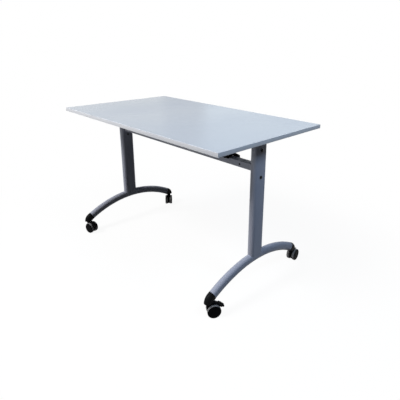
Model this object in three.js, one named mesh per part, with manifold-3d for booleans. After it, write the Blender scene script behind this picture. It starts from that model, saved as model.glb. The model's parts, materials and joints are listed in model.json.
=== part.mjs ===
// A flip-top training table: a melamine top that tips up on T-legs with arched feet and twin-wheel casters.
// Units are millimetres. +Z is up, +X runs along the long side, -Y is the front.
// The origin is on the floor, under the middle of the top.
import * as THREE from "three";
import { mergeVertices } from "three/addons/utils/BufferGeometryUtils.js";
import Module from "manifold-3d";

const wasm = await Module();
wasm.setup();

// Driving dimensions
const TOP = { length: 1200, depth: 680, thickness: 18, height: 745, band: 2 };
const COLUMN = { x: 523, y: -18, width: 33, depth: 82, wall: 2 };
const FOOT = { y: 8, width: 33, height: 43, wall: 2, radius: 580, apex: 164, reach: 278 };
const CAP = { margin: 0.5, straight: 11, bend: 25.5, bottom: 68, plug: 22, plugPlay: 1.2, socket: 28 };
const PIVOT = { z: 676, bolt: 8, bush: 14 };
const BEAM = { z: 595, depth: 40, height: 30, wall: 2 };
const LATCH = { rodY: 36, rodZ: 585, rod: 12, pinY: 44, pinZ: PIVOT.z + 6, pin: 8, drawnBack: 7 };
const CASTER = { wheel: 60, tread: 15, web: 14, trail: 21, stem: 9 };

// Clearances: between parts, round a part in its hole, and how far a cutting shape runs past a face
const GAP = 0.3;
const FIT = 0.2;
const PAST = 1;

// Where each caster points at rest: the angle from +X to the side that its wheels trail on, in degrees
const CASTERS = {
  front_right: { side: 1, end: -1, heading: 58, brake: true },
  rear_right: { side: 1, end: 1, heading: 98, brake: false },
  front_left: { side: -1, end: -1, heading: 12, brake: true },
  rear_left: { side: -1, end: 1, heading: 320, brake: false },
};

// Values that follow from the driving dimensions
const UNDERSIDE = TOP.height - TOP.thickness;
const FOOT_ANGLE = Math.asin(FOOT.reach / FOOT.radius);
const FOOT_CENTRE_Z = FOOT.apex - FOOT.radius;
const FOOT_END_Z = FOOT_CENTRE_Z + FOOT.radius * Math.cos(FOOT_ANGLE);
const CAP_START = new THREE.Vector2(FOOT.reach, FOOT_END_Z);
const CAP_HEADING = new THREE.Vector2(Math.cos(FOOT_ANGLE), -Math.sin(FOOT_ANGLE));
const CAP_TURN = Math.PI / 2 - FOOT_ANGLE;
const BEND_START = CAP_START.clone().addScaledVector(CAP_HEADING, CAP.straight);
const BEND_CENTRE = new THREE.Vector2(
  BEND_START.x - CAP.bend * Math.sin(FOOT_ANGLE),
  BEND_START.y - CAP.bend * Math.cos(FOOT_ANGLE),
);
const STEM_REACH = BEND_CENTRE.x + CAP.bend;

// Finishes
const finish = (color, roughness, metalness) =>
  new THREE.MeshStandardMaterial({ color, roughness, metalness });
const MELAMINE = finish(0xd2d6de, 0.35, 0);
const EDGING = finish(0xc3c7cf, 0.45, 0);
const SILVER_PAINT = finish(0x8c95a5, 0.42, 0.35);
const BLACK_PLASTIC = finish(0x16171a, 0.5, 0);
const GREY_TYRE = finish(0x2c2d31, 0.65, 0);
const ZINC_STEEL = finish(0xa4a7ab, 0.35, 0.9);
const BLACK_STEEL = finish(0x1d1e21, 0.45, 0.6);
const NATURAL_NYLON = finish(0xd9d6cc, 0.55, 0);

// Solids from geometries, and back
function solidOf(geometry) {
  const bare = new THREE.BufferGeometry();
  bare.setAttribute("position", geometry.getAttribute("position"));
  bare.setIndex(geometry.index);
  const merged = mergeVertices(bare, 1e-4);
  return new wasm.Manifold(
    new wasm.Mesh({
      numProp: 3,
      vertProperties: new Float32Array(merged.attributes.position.array),
      triVerts: new Uint32Array(merged.index.array),
    }),
  );
}

function geometryOf(solid) {
  const data = solid.getMesh();
  const geometry = new THREE.BufferGeometry();
  geometry.setAttribute("position", new THREE.BufferAttribute(Float32Array.from(data.vertProperties), 3));
  geometry.setIndex(new THREE.BufferAttribute(Uint32Array.from(data.triVerts), 1));
  geometry.computeVertexNormals();
  return geometry;
}

const join = (...geometries) =>
  geometryOf(geometries.map(solidOf).reduce((all, one) => all.add(one)));
const cut = (geometry, ...tools) =>
  geometryOf(tools.map(solidOf).reduce((left, tool) => left.subtract(tool), solidOf(geometry)));
const common = (a, b) => geometryOf(solidOf(a).intersect(solidOf(b)));

// Angles in degrees, limits on either side of zero, and limits that run past both ends
const degrees = THREE.MathUtils.degToRad;
const limitsOn = (side, near, far) => (side < 0 ? [-far, -near] : [near, far]);
const beyond = ([low, high]) => [low - PAST, high + PAST];

// Plain shapes, placed by their limits along each axis
function block([x0, x1], [y0, y1], [z0, z1]) {
  const geometry = new THREE.BoxGeometry(x1 - x0, y1 - y0, z1 - z0);
  return geometry.translate((x0 + x1) / 2, (y0 + y1) / 2, (z0 + z1) / 2);
}

function barX(diameter, [x0, x1], y, z, sides = 12) {
  const geometry = new THREE.CylinderGeometry(diameter / 2, diameter / 2, x1 - x0, sides);
  return geometry.rotateZ(-Math.PI / 2).translate((x0 + x1) / 2, y, z);
}

function barY(diameter, x, [y0, y1], z, sides = 12) {
  const geometry = new THREE.CylinderGeometry(diameter / 2, diameter / 2, y1 - y0, sides);
  return geometry.translate(x, (y0 + y1) / 2, z);
}

function barZ(diameter, x, y, [z0, z1], sides = 12) {
  const geometry = new THREE.CylinderGeometry(diameter / 2, diameter / 2, z1 - z0, sides);
  return geometry.rotateX(Math.PI / 2).translate(x, y, (z0 + z1) / 2);
}

const AXIS_X = new THREE.Vector3(1, 0, 0);
const AXIS_Y = new THREE.Vector3(0, 1, 0);
const AXIS_Z = new THREE.Vector3(0, 0, 1);

// A plate whose outline is drawn in (y, z), as thick as its limits along X
function plateX(outline, [x0, x1], curveSegments = 5) {
  const depth = x1 - x0;
  const geometry = new THREE.ExtrudeGeometry(outline, { depth, bevelEnabled: false, curveSegments });
  geometry.applyMatrix4(new THREE.Matrix4().makeBasis(AXIS_Y, AXIS_Z, AXIS_X));
  return geometry.translate(x0, 0, 0);
}

// A plate whose outline is drawn in (x, z), as thick as its limits along Y
function plateY(outline, [y0, y1], curveSegments = 4) {
  const depth = y1 - y0;
  const geometry = new THREE.ExtrudeGeometry(outline, { depth, bevelEnabled: false, curveSegments });
  geometry.applyMatrix4(new THREE.Matrix4().makeBasis(AXIS_X, AXIS_Z, AXIS_Y.clone().negate()));
  return geometry.translate(0, y1, 0);
}

const outlineOf = (points) => new THREE.Shape(points.map(([x, y]) => new THREE.Vector2(x, y)));

// A flat-oval tube section: two half rounds joined by flats
function flatOval(width, depth) {
  const outline = new THREE.Shape();
  const half = (depth - width) / 2;
  outline.absarc(0, half, width / 2, 0, Math.PI);
  outline.absarc(0, -half, width / 2, Math.PI, 2 * Math.PI);
  outline.closePath();
  return outline;
}

// The flat-oval ring of a tube wall
function flatOvalRing(width, depth, wall) {
  const outline = flatOval(width, depth);
  outline.holes.push(flatOval(width - 2 * wall, depth - 2 * wall));
  return outline;
}

function mesh(name, geometry, material) {
  const made = new THREE.Mesh(geometry, material);
  made.name = name;
  return made;
}

// The top: a board with an edge band on each side
function buildTop() {
  const group = new THREE.Group();
  const halfX = TOP.length / 2;
  const halfY = TOP.depth / 2;
  const coreX = halfX - TOP.band;
  const coreY = halfY - TOP.band;
  const heights = [UNDERSIDE, TOP.height];
  group.add(mesh("top_board", block([-coreX, coreX], [-coreY, coreY], heights), MELAMINE));
  for (const [name, side] of [["left", -1], ["right", 1]]) {
    const band = block(limitsOn(side, coreX, halfX), [-coreY, coreY], heights);
    group.add(mesh(`edge_band_${name}`, band, EDGING));
  }
  for (const [name, side] of [["front", -1], ["rear", 1]]) {
    const band = block([-halfX, halfX], limitsOn(side, coreY, halfY), heights);
    group.add(mesh(`edge_band_${name}`, band, EDGING));
  }
  return group;
}

// The foot's arch, from its front end to its rear end
const ARCH_STEPS = 14;

class FootArch extends THREE.Curve {
  getPoint(t, target = new THREE.Vector3()) {
    const angle = FOOT_ANGLE * (2 * t - 1);
    const height = FOOT_CENTRE_Z + FOOT.radius * Math.cos(angle);
    return target.set(0, FOOT.radius * Math.sin(angle), height);
  }
}

// The end cap's elbow: a short straight, then a bend that turns straight down
const ELBOW_STEPS = 6;

class CapElbow extends THREE.Curve {
  getPoint(t, target = new THREE.Vector3()) {
    const length = CAP.straight + CAP.bend * CAP_TURN;
    const along = t * length - CAP.straight;
    if (along <= 0) {
      const point = BEND_START.clone().addScaledVector(CAP_HEADING, along);
      return target.set(0, point.x, point.y);
    }
    const angle = FOOT_ANGLE + along / CAP.bend;
    const height = BEND_CENTRE.y + CAP.bend * Math.cos(angle);
    return target.set(0, BEND_CENTRE.x + CAP.bend * Math.sin(angle), height);
  }
}

const OVAL_SEGMENTS = 3;

function footSweep(section, curve, steps) {
  return new THREE.ExtrudeGeometry(section, {
    extrudePath: curve,
    steps,
    curveSegments: OVAL_SEGMENTS,
    bevelEnabled: false,
  });
}

// The end cap: the elbow, a plug that fits inside the foot tube, and a socket for the caster's stem
function footCapSolid() {
  const width = FOOT.width + 2 * CAP.margin;
  const height = FOOT.height + 2 * CAP.margin;
  const elbow = footSweep(flatOval(width, height), new CapElbow(), ELBOW_STEPS);
  const inside = (size) => size - 2 * FOOT.wall - 2 * CAP.plugPlay;
  const plug = new THREE.ExtrudeGeometry(flatOval(inside(FOOT.width), inside(FOOT.height)), {
    depth: CAP.plug + PAST,
    bevelEnabled: false,
    curveSegments: OVAL_SEGMENTS,
  });
  plug.translate(0, 0, -CAP.plug);
  plug.rotateX(-Math.PI / 2 - FOOT_ANGLE);
  plug.translate(0, CAP_START.x, CAP_START.y);
  const gap = new THREE.Vector3(0, CAP_HEADING.x, CAP_HEADING.y).multiplyScalar(GAP);
  const whole = join(elbow, plug).translate(gap.x, gap.y, gap.z);
  const below = block([-width, width], [STEM_REACH - height, STEM_REACH + height], [0, CAP.bottom]);
  const socketLimits = [CAP.bottom - PAST, CAP.bottom + CAP.socket];
  return cut(whole, below, barZ(CASTER.stem + 2 * FIT, 0, STEM_REACH, socketLimits));
}

// The column: a flat-oval tube, coped to the arch, with a closed head that is rounded about the pivot
const FRAME_BOLT = { z: 556, diameter: 8, past: 3 };

function roundedPost(inset, bottom) {
  const radius = COLUMN.depth / 2 - inset;
  const post = new THREE.ExtrudeGeometry(flatOval(COLUMN.width - 2 * inset, 2 * radius), {
    depth: PIVOT.z + radius - bottom,
    bevelEnabled: false,
    curveSegments: 4,
  });
  post.translate(0, 0, bottom);
  const side = new THREE.Shape();
  const wide = radius + PAST;
  side.moveTo(-wide, bottom - PAST);
  side.lineTo(wide, bottom - PAST);
  side.lineTo(wide, PIVOT.z);
  side.absarc(0, PIVOT.z, radius, 0, Math.PI);
  side.lineTo(-wide, PIVOT.z);
  side.closePath();
  return common(post, plateX(side, [-COLUMN.width, COLUMN.width], 8));
}

function columnSolid(footBody) {
  const bottom = FOOT.apex - PAST;
  const across = [-COLUMN.width, COLUMN.width];
  return cut(
    roundedPost(0, bottom),
    roundedPost(COLUMN.wall, bottom - PAST),
    footBody,
    barX(PIVOT.bolt + 2 * FIT, across, 0, PIVOT.z),
    barX(FRAME_BOLT.diameter + 2 * FIT, across, 0, FRAME_BOLT.z),
  );
}

// The beam bracket: a plate on the column's inner face, a spigot for the beam, a cradle for the strike pin
const PLATE = { inner: -COLUMN.width / 2 - GAP - 4, outer: -COLUMN.width / 2 - GAP, half: 22, bottom: 536 };
const SPIGOT = { length: 95, fit: 0.25, wall: 2 };
const CRADLE = { from: 37, to: 53, root: PIVOT.z - 62, heel: PIVOT.z - 24, lip: PIVOT.z + 4 };
const CROTCH = { y: 34, z: PIVOT.z - 14 };
const BEAM_SCREW = { x: -90, diameter: 5, head: 9, headHeight: 2.2, length: 8 };

function beamBracketSolid() {
  const outline = new THREE.Shape();
  outline.moveTo(-PLATE.half, PLATE.bottom);
  outline.lineTo(PLATE.half, PLATE.bottom);
  outline.lineTo(PLATE.half, CRADLE.root);
  outline.lineTo(CRADLE.to, CRADLE.heel);
  outline.lineTo(CRADLE.to, CRADLE.lip);
  outline.lineTo(CRADLE.from, CRADLE.lip);
  outline.lineTo(CROTCH.y, CROTCH.z);
  outline.lineTo(PLATE.half, CROTCH.z);
  outline.lineTo(PLATE.half, PIVOT.z);
  outline.absarc(0, PIVOT.z, PLATE.half, 0, Math.PI);
  outline.closePath();
  const limits = [PLATE.inner, PLATE.outer];
  const halfY = BEAM.depth / 2 - BEAM.wall - SPIGOT.fit;
  const halfZ = BEAM.height / 2 - BEAM.wall - SPIGOT.fit;
  const reach = [PLATE.inner - SPIGOT.length, PLATE.inner + PAST];
  const spigot = block(reach, [-halfY, halfY], [BEAM.z - halfZ, BEAM.z + halfZ]);
  const hollow = block(
    [reach[0] - PAST, PLATE.inner],
    [-halfY + SPIGOT.wall, halfY - SPIGOT.wall],
    [BEAM.z - halfZ + SPIGOT.wall, BEAM.z + halfZ - SPIGOT.wall],
  );
  return cut(
    join(plateX(outline, limits), spigot),
    hollow,
    barX(PIVOT.bolt + 2 * FIT, beyond(limits), 0, PIVOT.z),
    barX(FRAME_BOLT.diameter + 2 * FIT, beyond(limits), 0, FRAME_BOLT.z),
    barX(LATCH.pin + 2 * GAP, beyond(limits), LATCH.pinY, LATCH.pinZ),
    barY(BEAM_SCREW.diameter + 2 * FIT, BEAM_SCREW.x, [-BEAM.depth, 0], BEAM.z),
  );
}

// The screw that holds the beam on its spigot
function beamScrewSolid() {
  const face = -BEAM.depth / 2;
  const seat = face - FIT;
  const head = barY(BEAM_SCREW.head, BEAM_SCREW.x, [seat - BEAM_SCREW.headHeight, seat], BEAM.z);
  const shankLimits = [seat - PAST, face + BEAM_SCREW.length];
  return join(head, barY(BEAM_SCREW.diameter, BEAM_SCREW.x, shankLimits, BEAM.z));
}

// The hinge bracket under the top: a base plate, a cheek on the pivot, and an ear that carries the strike pin
const HINGE = { plate: 3, x: [-60, 30], halfY: 70, eye: 18, shoulder: 28 };
const CHEEK = [PLATE.inner - 5, PLATE.inner - 1];
const PIN_EAR = { x: [PLATE.inner - 14.7, PLATE.inner - 10.7], from: 22, to: 58, eye: 10 };
const BRACKET_SCREW_HOLE = { diameter: 5, x: [-48, 20], y: 58, sides: 8 };

function hingeBracketSolid() {
  const top = UNDERSIDE - FIT;
  const baseHeights = [top - HINGE.plate, top];
  const base = block(HINGE.x, [-HINGE.halfY, HINGE.halfY], baseHeights);
  const cheek = new THREE.Shape();
  cheek.absarc(0, PIVOT.z, HINGE.eye, Math.PI, 2 * Math.PI);
  cheek.lineTo(HINGE.shoulder, top - PAST);
  cheek.lineTo(-HINGE.shoulder, top - PAST);
  cheek.closePath();
  const ear = new THREE.Shape();
  ear.absarc(LATCH.pinY, LATCH.pinZ, PIN_EAR.eye, Math.PI, 2 * Math.PI);
  ear.lineTo(PIN_EAR.to, top - PAST);
  ear.lineTo(PIN_EAR.from, top - PAST);
  ear.closePath();
  const screws = BRACKET_SCREW_HOLE.x.flatMap((x) =>
    [-BRACKET_SCREW_HOLE.y, BRACKET_SCREW_HOLE.y].map((y) =>
      barZ(BRACKET_SCREW_HOLE.diameter, x, y, beyond(baseHeights), BRACKET_SCREW_HOLE.sides),
    ),
  );
  return cut(
    join(base, plateX(cheek, CHEEK), plateX(ear, PIN_EAR.x)),
    barX(PIVOT.bush + 3 * GAP, beyond(CHEEK), 0, PIVOT.z),
    barX(LATCH.pin + 2 * FIT, beyond(PIN_EAR.x), LATCH.pinY, LATCH.pinZ),
    ...screws,
  );
}

// Round hardware on the pivot, the frame bolt and the strike pin
const BOLT_HEAD = { diameter: 15, height: 4.5, socket: 5, socketDepth: 3 };
const PIVOT_NUT = { across: 15, height: 7, thread: 1.8 };
const STRIKE_HEAD = { diameter: 12, height: 2.3 };

// The bush fills the room between the plate and the nut, and the cheek turns on it
const BUSH = [CHEEK[0] - 0.7, PLATE.inner - GAP];
const NUT = [BUSH[0] - GAP - PIVOT_NUT.height, BUSH[0] - GAP];

function buttonBolt(diameter, z, end) {
  const face = COLUMN.width / 2 + FIT;
  const crown = face + BOLT_HEAD.height;
  const head = barX(BOLT_HEAD.diameter, [face, crown], 0, z);
  const shank = barX(diameter, [end, face + PAST], 0, z);
  const socket = barX(BOLT_HEAD.socket, [crown - BOLT_HEAD.socketDepth, crown + PAST], 0, z, 6);
  return cut(join(head, shank), socket);
}

function pivotNutSolid() {
  const bore = barX(PIVOT.bolt + 2 * FIT, beyond(NUT), 0, PIVOT.z);
  return cut(barX(PIVOT_NUT.across, NUT, 0, PIVOT.z, 6), bore);
}

function pivotBushSolid() {
  const bore = barX(PIVOT.bolt + 2 * FIT, beyond(BUSH), 0, PIVOT.z);
  return cut(barX(PIVOT.bush, BUSH, 0, PIVOT.z), bore);
}

function strikePinSolid() {
  const seat = PIN_EAR.x[0] - FIT;
  const headLimits = [seat - STRIKE_HEAD.height, seat];
  const head = barX(STRIKE_HEAD.diameter, headLimits, LATCH.pinY, LATCH.pinZ);
  const shank = barX(LATCH.pin, [seat - PAST, PLATE.outer - GAP], LATCH.pinY, LATCH.pinZ);
  return join(head, shank);
}

// One leg, drawn for the right-hand end; the left one is its mirror image
function buildLegHardware(name) {
  const pivotEnd = NUT[0] - PIVOT_NUT.thread;
  const frameEnd = PLATE.inner - FRAME_BOLT.past;
  const parts = [
    mesh(`beam_bracket_${name}`, beamBracketSolid(), SILVER_PAINT),
    mesh(`beam_screw_${name}`, beamScrewSolid(), BLACK_STEEL),
    mesh(`pivot_bolt_${name}`, buttonBolt(PIVOT.bolt, PIVOT.z, pivotEnd), BLACK_STEEL),
    mesh(`pivot_nut_${name}`, pivotNutSolid(), ZINC_STEEL),
    mesh(`pivot_bush_${name}`, pivotBushSolid(), NATURAL_NYLON),
    mesh(`frame_bolt_${name}`, buttonBolt(FRAME_BOLT.diameter, FRAME_BOLT.z, frameEnd), BLACK_STEEL),
    mesh(`hinge_bracket_${name}`, hingeBracketSolid(), BLACK_STEEL),
    mesh(`strike_pin_${name}`, strikePinSolid(), ZINC_STEEL),
  ];
  return new THREE.Group().add(...parts);
}

function buildLeg(name) {
  const group = new THREE.Group();
  const arch = new FootArch();
  const foot = footSweep(flatOvalRing(FOOT.width, FOOT.height, FOOT.wall), arch, ARCH_STEPS);
  const cope = footSweep(flatOval(FOOT.width + 2 * GAP, FOOT.height + 2 * GAP), arch, ARCH_STEPS);
  foot.translate(0, FOOT.y, 0);
  cope.translate(0, FOOT.y, 0);
  group.add(mesh(`foot_${name}`, foot, SILVER_PAINT));
  group.add(mesh(`column_${name}`, columnSolid(cope), SILVER_PAINT));
  for (const [end, turn] of [["front", Math.PI], ["rear", 0]]) {
    const cap = mesh(`foot_cap_${end}_${name}`, footCapSolid(), BLACK_PLASTIC);
    cap.position.y = FOOT.y;
    cap.rotation.z = turn;
    group.add(cap);
  }
  return group;
}

// The cross beam, a rectangular tube over the spigots
function buildBeam() {
  const half = COLUMN.x + PLATE.inner - GAP;
  const halfY = BEAM.depth / 2;
  const halfZ = BEAM.height / 2;
  const outer = block([-half, half], [-halfY, halfY], [BEAM.z - halfZ, BEAM.z + halfZ]);
  const bore = block(
    beyond([-half, half]),
    [-halfY + BEAM.wall, halfY - BEAM.wall],
    [BEAM.z - halfZ + BEAM.wall, BEAM.z + halfZ - BEAM.wall],
  );
  const holes = [-1, 1].map((side) => {
    const x = side * (COLUMN.x + BEAM_SCREW.x);
    return barY(BEAM_SCREW.diameter + 2 * FIT, x, [-BEAM.depth, 0], BEAM.z);
  });
  return mesh("cross_beam", cut(outer, bore, ...holes), SILVER_PAINT);
}

// The release bar behind the beam: a rod in its bearings, a hook at each end, a lever and its return spring
const BEARING = { x: 430, half: 10, reach: 13, back: BEAM.depth / 2 + FIT };
const HOOK = { x: [PLATE.inner - 7.7, PLATE.inner - 2.7], boss: 26, rodPast: 0.5 };
const ROD_PLAY = 0.15;

// The hook's outline about its pin as latched, from its heel up over the pin and down to its throat
const HOOK_OUTLINE = [[20, -12], [20, 10.6], [14, 14.6], [-2, 12.6], [-4, 4.6], [4.6, 4.6], [5.6, -14]];

function bearingSolid(x) {
  const limits = [x - BEARING.half, x + BEARING.half];
  const outline = new THREE.Shape();
  outline.moveTo(BEARING.back, LATCH.rodZ - BEARING.reach);
  outline.lineTo(LATCH.rodY, LATCH.rodZ - BEARING.reach);
  outline.absarc(LATCH.rodY, LATCH.rodZ, BEARING.reach, -Math.PI / 2, Math.PI / 2);
  outline.lineTo(BEARING.back, LATCH.rodZ + BEARING.reach);
  outline.closePath();
  const bore = barX(LATCH.rod + 2 * FIT, beyond(limits), LATCH.rodY, LATCH.rodZ);
  return cut(plateX(outline, limits), bore);
}

// The hook is drawn over its pin, as latched, then drawn back about the rod to let the pin pass
function hookSolid() {
  const outline = new THREE.Shape();
  outline.moveTo(LATCH.rodY - HOOK.boss / 2, LATCH.rodZ);
  outline.absarc(LATCH.rodY, LATCH.rodZ, HOOK.boss / 2, Math.PI, 2 * Math.PI);
  for (const [y, z] of HOOK_OUTLINE) {
    outline.lineTo(LATCH.pinY + y, LATCH.pinZ + z);
  }
  outline.closePath();
  const bore = barX(LATCH.rod + 2 * ROD_PLAY, beyond(HOOK.x), LATCH.rodY, LATCH.rodZ);
  const hook = cut(plateX(outline, HOOK.x), bore);
  hook.translate(0, -LATCH.rodY, -LATCH.rodZ);
  hook.rotateX(-degrees(LATCH.drawnBack));
  return hook.translate(0, LATCH.rodY, LATCH.rodZ);
}

// The lever: a hub on the rod, an arm over the beam and a finger lip that hangs in front of it
const LEVER = { x: [275, 375], hub: 24, top: 634, under: 618, cheek: 22, web: 4 };
const LEVER_SLOPE = { from: 2, rearZ: 609, corner: 6 };
const LEVER_LIP = { front: -38, back: -25, throat: -23, low: 610, round: 8, chin: 4, brow: 620 };

function leverSolid() {
  const behind = LATCH.rodY + LEVER.hub / 2;
  const before = LATCH.rodY - LEVER.hub / 2;
  const outline = new THREE.Shape();
  outline.moveTo(before, LATCH.rodZ);
  outline.absarc(LATCH.rodY, LATCH.rodZ, LEVER.hub / 2, Math.PI, 2 * Math.PI);
  outline.lineTo(behind, LEVER_SLOPE.rearZ - LEVER_SLOPE.corner);
  outline.lineTo(behind - LEVER_SLOPE.corner, LEVER_SLOPE.rearZ);
  outline.lineTo(LEVER_SLOPE.from, LEVER.top);
  outline.lineTo(LEVER_LIP.front + LEVER_LIP.round, LEVER.top);
  outline.quadraticCurveTo(LEVER_LIP.front, LEVER.top, LEVER_LIP.front, LEVER_LIP.brow);
  outline.lineTo(LEVER_LIP.front, LEVER_LIP.low + LEVER_LIP.chin);
  outline.lineTo(LEVER_LIP.front + LEVER_LIP.chin, LEVER_LIP.low);
  outline.lineTo(LEVER_LIP.back, LEVER_LIP.low);
  outline.lineTo(LEVER_LIP.throat, LEVER.under);
  outline.lineTo(before, LEVER.under);
  outline.closePath();
  const [low, high] = LEVER.x;
  const bore = barX(LATCH.rod + 2 * ROD_PLAY, beyond(LEVER.x), LATCH.rodY, LATCH.rodZ);
  const relief = block(
    [low + LEVER.cheek, high - LEVER.cheek],
    [before - PAST, behind + PAST],
    [LATCH.rodZ - LEVER.hub, LEVER.under - LEVER.web],
  );
  return cut(plateX(outline, LEVER.x, 6), bore, relief);
}

// The return spring: open coils about the rod, as one unbroken wire
const SPRING = { x: LEVER.x[0] - 4, coils: 7, pitch: 2.4, mean: 8.6, wire: 1.5, sides: 5, steps: 8 };

function springPoint(turn) {
  const angle = 2 * Math.PI * turn;
  return new THREE.Vector3(
    SPRING.x - SPRING.pitch * (SPRING.coils - turn),
    LATCH.rodY + SPRING.mean * Math.cos(angle),
    LATCH.rodZ + SPRING.mean * Math.sin(angle),
  );
}

// The least clear gap between the wire and its own next turns
function springGap(points) {
  let least = Infinity;
  points.forEach((point, i) => {
    for (const other of points.slice(i + SPRING.steps - 1)) {
      least = Math.min(least, point.distanceTo(other));
    }
  });
  return least - SPRING.wire;
}

function springSolid() {
  const count = SPRING.coils * SPRING.steps;
  const points = Array.from({ length: count + 1 }, (_, i) => springPoint(i / SPRING.steps));
  const positions = [];
  for (const point of points) {
    const out = new THREE.Vector3(0, point.y - LATCH.rodY, point.z - LATCH.rodZ).normalize();
    for (let k = 0; k < SPRING.sides; k++) {
      const angle = (2 * Math.PI * k) / SPRING.sides;
      const ring = point.clone().addScaledVector(out, (SPRING.wire / 2) * Math.cos(angle));
      ring.addScaledVector(AXIS_X, (SPRING.wire / 2) * Math.sin(angle));
      positions.push(...ring.toArray());
    }
  }
  const faces = [];
  for (let i = 0; i < count; i++) {
    for (let k = 0; k < SPRING.sides; k++) {
      const a = i * SPRING.sides + k;
      const b = i * SPRING.sides + ((k + 1) % SPRING.sides);
      faces.push(a, b + SPRING.sides, b, a, a + SPRING.sides, b + SPRING.sides);
    }
  }
  const last = count * SPRING.sides;
  for (let k = 1; k < SPRING.sides - 1; k++) {
    faces.push(0, k, k + 1, last, last + k + 1, last + k);
  }
  const geometry = new THREE.BufferGeometry();
  geometry.setAttribute("position", new THREE.Float32BufferAttribute(positions, 3));
  geometry.setIndex(faces);
  geometry.computeVertexNormals();
  console.log(`return spring: least gap to itself ${springGap(points).toFixed(2)} mm`);
  return geometry;
}

function buildReleaseBar() {
  const group = new THREE.Group();
  const end = COLUMN.x + HOOK.x[1] + HOOK.rodPast;
  group.add(mesh("release_rod", barX(LATCH.rod, [-end, end], LATCH.rodY, LATCH.rodZ), BLACK_STEEL));
  group.add(mesh("release_lever", leverSolid(), BLACK_PLASTIC));
  group.add(mesh("return_spring", springSolid(), ZINC_STEEL));
  for (const [name, side] of [["left", -1], ["right", 1]]) {
    const hook = mesh(`latch_hook_${name}`, hookSolid(), ZINC_STEEL);
    hook.position.x = side * COLUMN.x;
    hook.scale.x = side;
    group.add(hook, mesh(`rod_bearing_${name}`, bearingSolid(side * BEARING.x), BLACK_PLASTIC));
  }
  return group;
}

// A twin-wheel caster, drawn with its stem on the Z axis and its wheels trailing towards +X
const AXLE_Z = CASTER.wheel / 2;
const AXLE = { diameter: 8, half: 18 };
const STEM = { foot: AXLE_Z + 14, play: 2, collar: 17 };
const NECK = { diameter: 24, bottom: 60, shoulder: 64, top: 66 };
const WEB = { radius: 27, to: 46, toe: AXLE_Z + 10, lap: 2 };
const FENDER = { inner: 32, outer: 34.5, half: 11, from: 54, to: 132 };
const PEDAL = { angle: 46, radius: 34, half: 15, hub: 7, pin: 3, raised: 18 };
const FENDER_PLAY = 1.5;
const PEDAL_EAR = { inner: 25, outer: 37.5, from: 39, to: 58 };

const aroundAxle = (radius, angle) => [
  CASTER.trail + radius * Math.cos(degrees(angle)),
  AXLE_Z + radius * Math.sin(degrees(angle)),
];
const PEDAL_PIVOT = aroundAxle(PEDAL.radius, PEDAL.angle);

// A slice of a ring about the axle
function ringOutline({ inner, outer, from, to }) {
  const outline = new THREE.Shape();
  outline.absarc(CASTER.trail, AXLE_Z, outer, degrees(from), degrees(to), false);
  outline.absarc(CASTER.trail, AXLE_Z, inner, degrees(to), degrees(from), true);
  outline.closePath();
  return outline;
}

// The hood: a web between the wheels, a fender over it, a neck on the stem and, with a brake, an ear
function hoodSolid(brake) {
  const half = CASTER.web / 2;
  const stemBore = CASTER.stem + 2 * FIT;
  const web = new THREE.Shape();
  web.moveTo(-stemBore, WEB.toe);
  web.absarc(CASTER.trail, AXLE_Z, WEB.radius, Math.PI, 2 * Math.PI + degrees(WEB.to));
  web.lineTo(...aroundAxle(FENDER.outer - PAST, FENDER.from + WEB.lap));
  web.lineTo(NECK.diameter / 2, NECK.shoulder);
  web.lineTo(-stemBore, NECK.shoulder);
  web.closePath();
  const pieces = [
    plateY(web, [-half, half]),
    plateY(ringOutline(FENDER), [-FENDER.half, FENDER.half]),
    barZ(NECK.diameter, 0, 0, [NECK.bottom, NECK.top]),
  ];
  const tools = [
    barZ(stemBore, 0, 0, [STEM.foot - STEM.play, NECK.top + PAST]),
    barY(AXLE.diameter + 2 * FIT, CASTER.trail, beyond([-half, half]), AXLE_Z),
  ];
  if (brake) {
    const [x, z] = PEDAL_PIVOT;
    const hubRoom = PEDAL.hub + 2 * FENDER_PLAY;
    pieces.push(plateY(ringOutline(PEDAL_EAR), [-half, half]));
    tools.push(barY(PEDAL.pin + 2 * FIT, x, beyond([-half, half]), z));
    for (const side of [-1, 1]) {
      tools.push(barY(hubRoom, x, limitsOn(side, half, FENDER.half + PAST), z));
    }
  }
  return cut(join(...pieces), ...tools);
}

// The brake pedal: hubs astride the ear on one pin, a flap over the treads and a toe tab;
// it is drawn pressed and then raised
const PEDAL_FLAP = [[0, -2.5], [22, -3.2], [24.5, 1.5], [2, 3]];
const PEDAL_SHOE = [[4.6, -3.7], [9.4, -3.5], [10, 0], [3.6, 0]];
const PEDAL_TAB = { from: 12, half: 11 };
const PEDAL_SLOT = { reach: 9, gap: 0.5 };

function pedalSolid() {
  const [x, z] = PEDAL_PIVOT;
  const across = [-PEDAL.half, PEDAL.half];
  const parts = [
    plateY(outlineOf(PEDAL_FLAP), across),
    plateY(outlineOf(PEDAL_SHOE), across),
    barY(PEDAL.hub, 0, across, 0),
  ];
  const heights = [-PEDAL.radius, PEDAL.radius];
  const beside = [-1, 1].map((side) =>
    block([PEDAL_TAB.from, CASTER.wheel], limitsOn(side, PEDAL_TAB.half, CASTER.wheel), heights),
  );
  const slotHalf = CASTER.web / 2 + PEDAL_SLOT.gap;
  const slot = block([-PEDAL.hub, PEDAL_SLOT.reach], [-slotHalf, slotHalf], heights);
  const pin = barY(PEDAL.pin, 0, [-slotHalf - PAST, slotHalf + PAST], 0);
  const pedal = join(cut(join(...parts), ...beside, slot), pin);
  const tangent = 90 - PEDAL.angle;
  return pedal.rotateY(degrees(tangent - PEDAL.raised)).translate(x, 0, z);
}

// One wheel of a pair, from its inner face to its domed outer face, with a blind bore for the axle;
// it is turned so that a flat of its tread lies on the floor
const WHEEL = { sides: 20, gap: 0.5, chamfer: 3, dome: 0.6 };
const WHEEL_SHOULDER = [[0, 4], [1.5, 1.2], [4.5, 0]];

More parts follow.
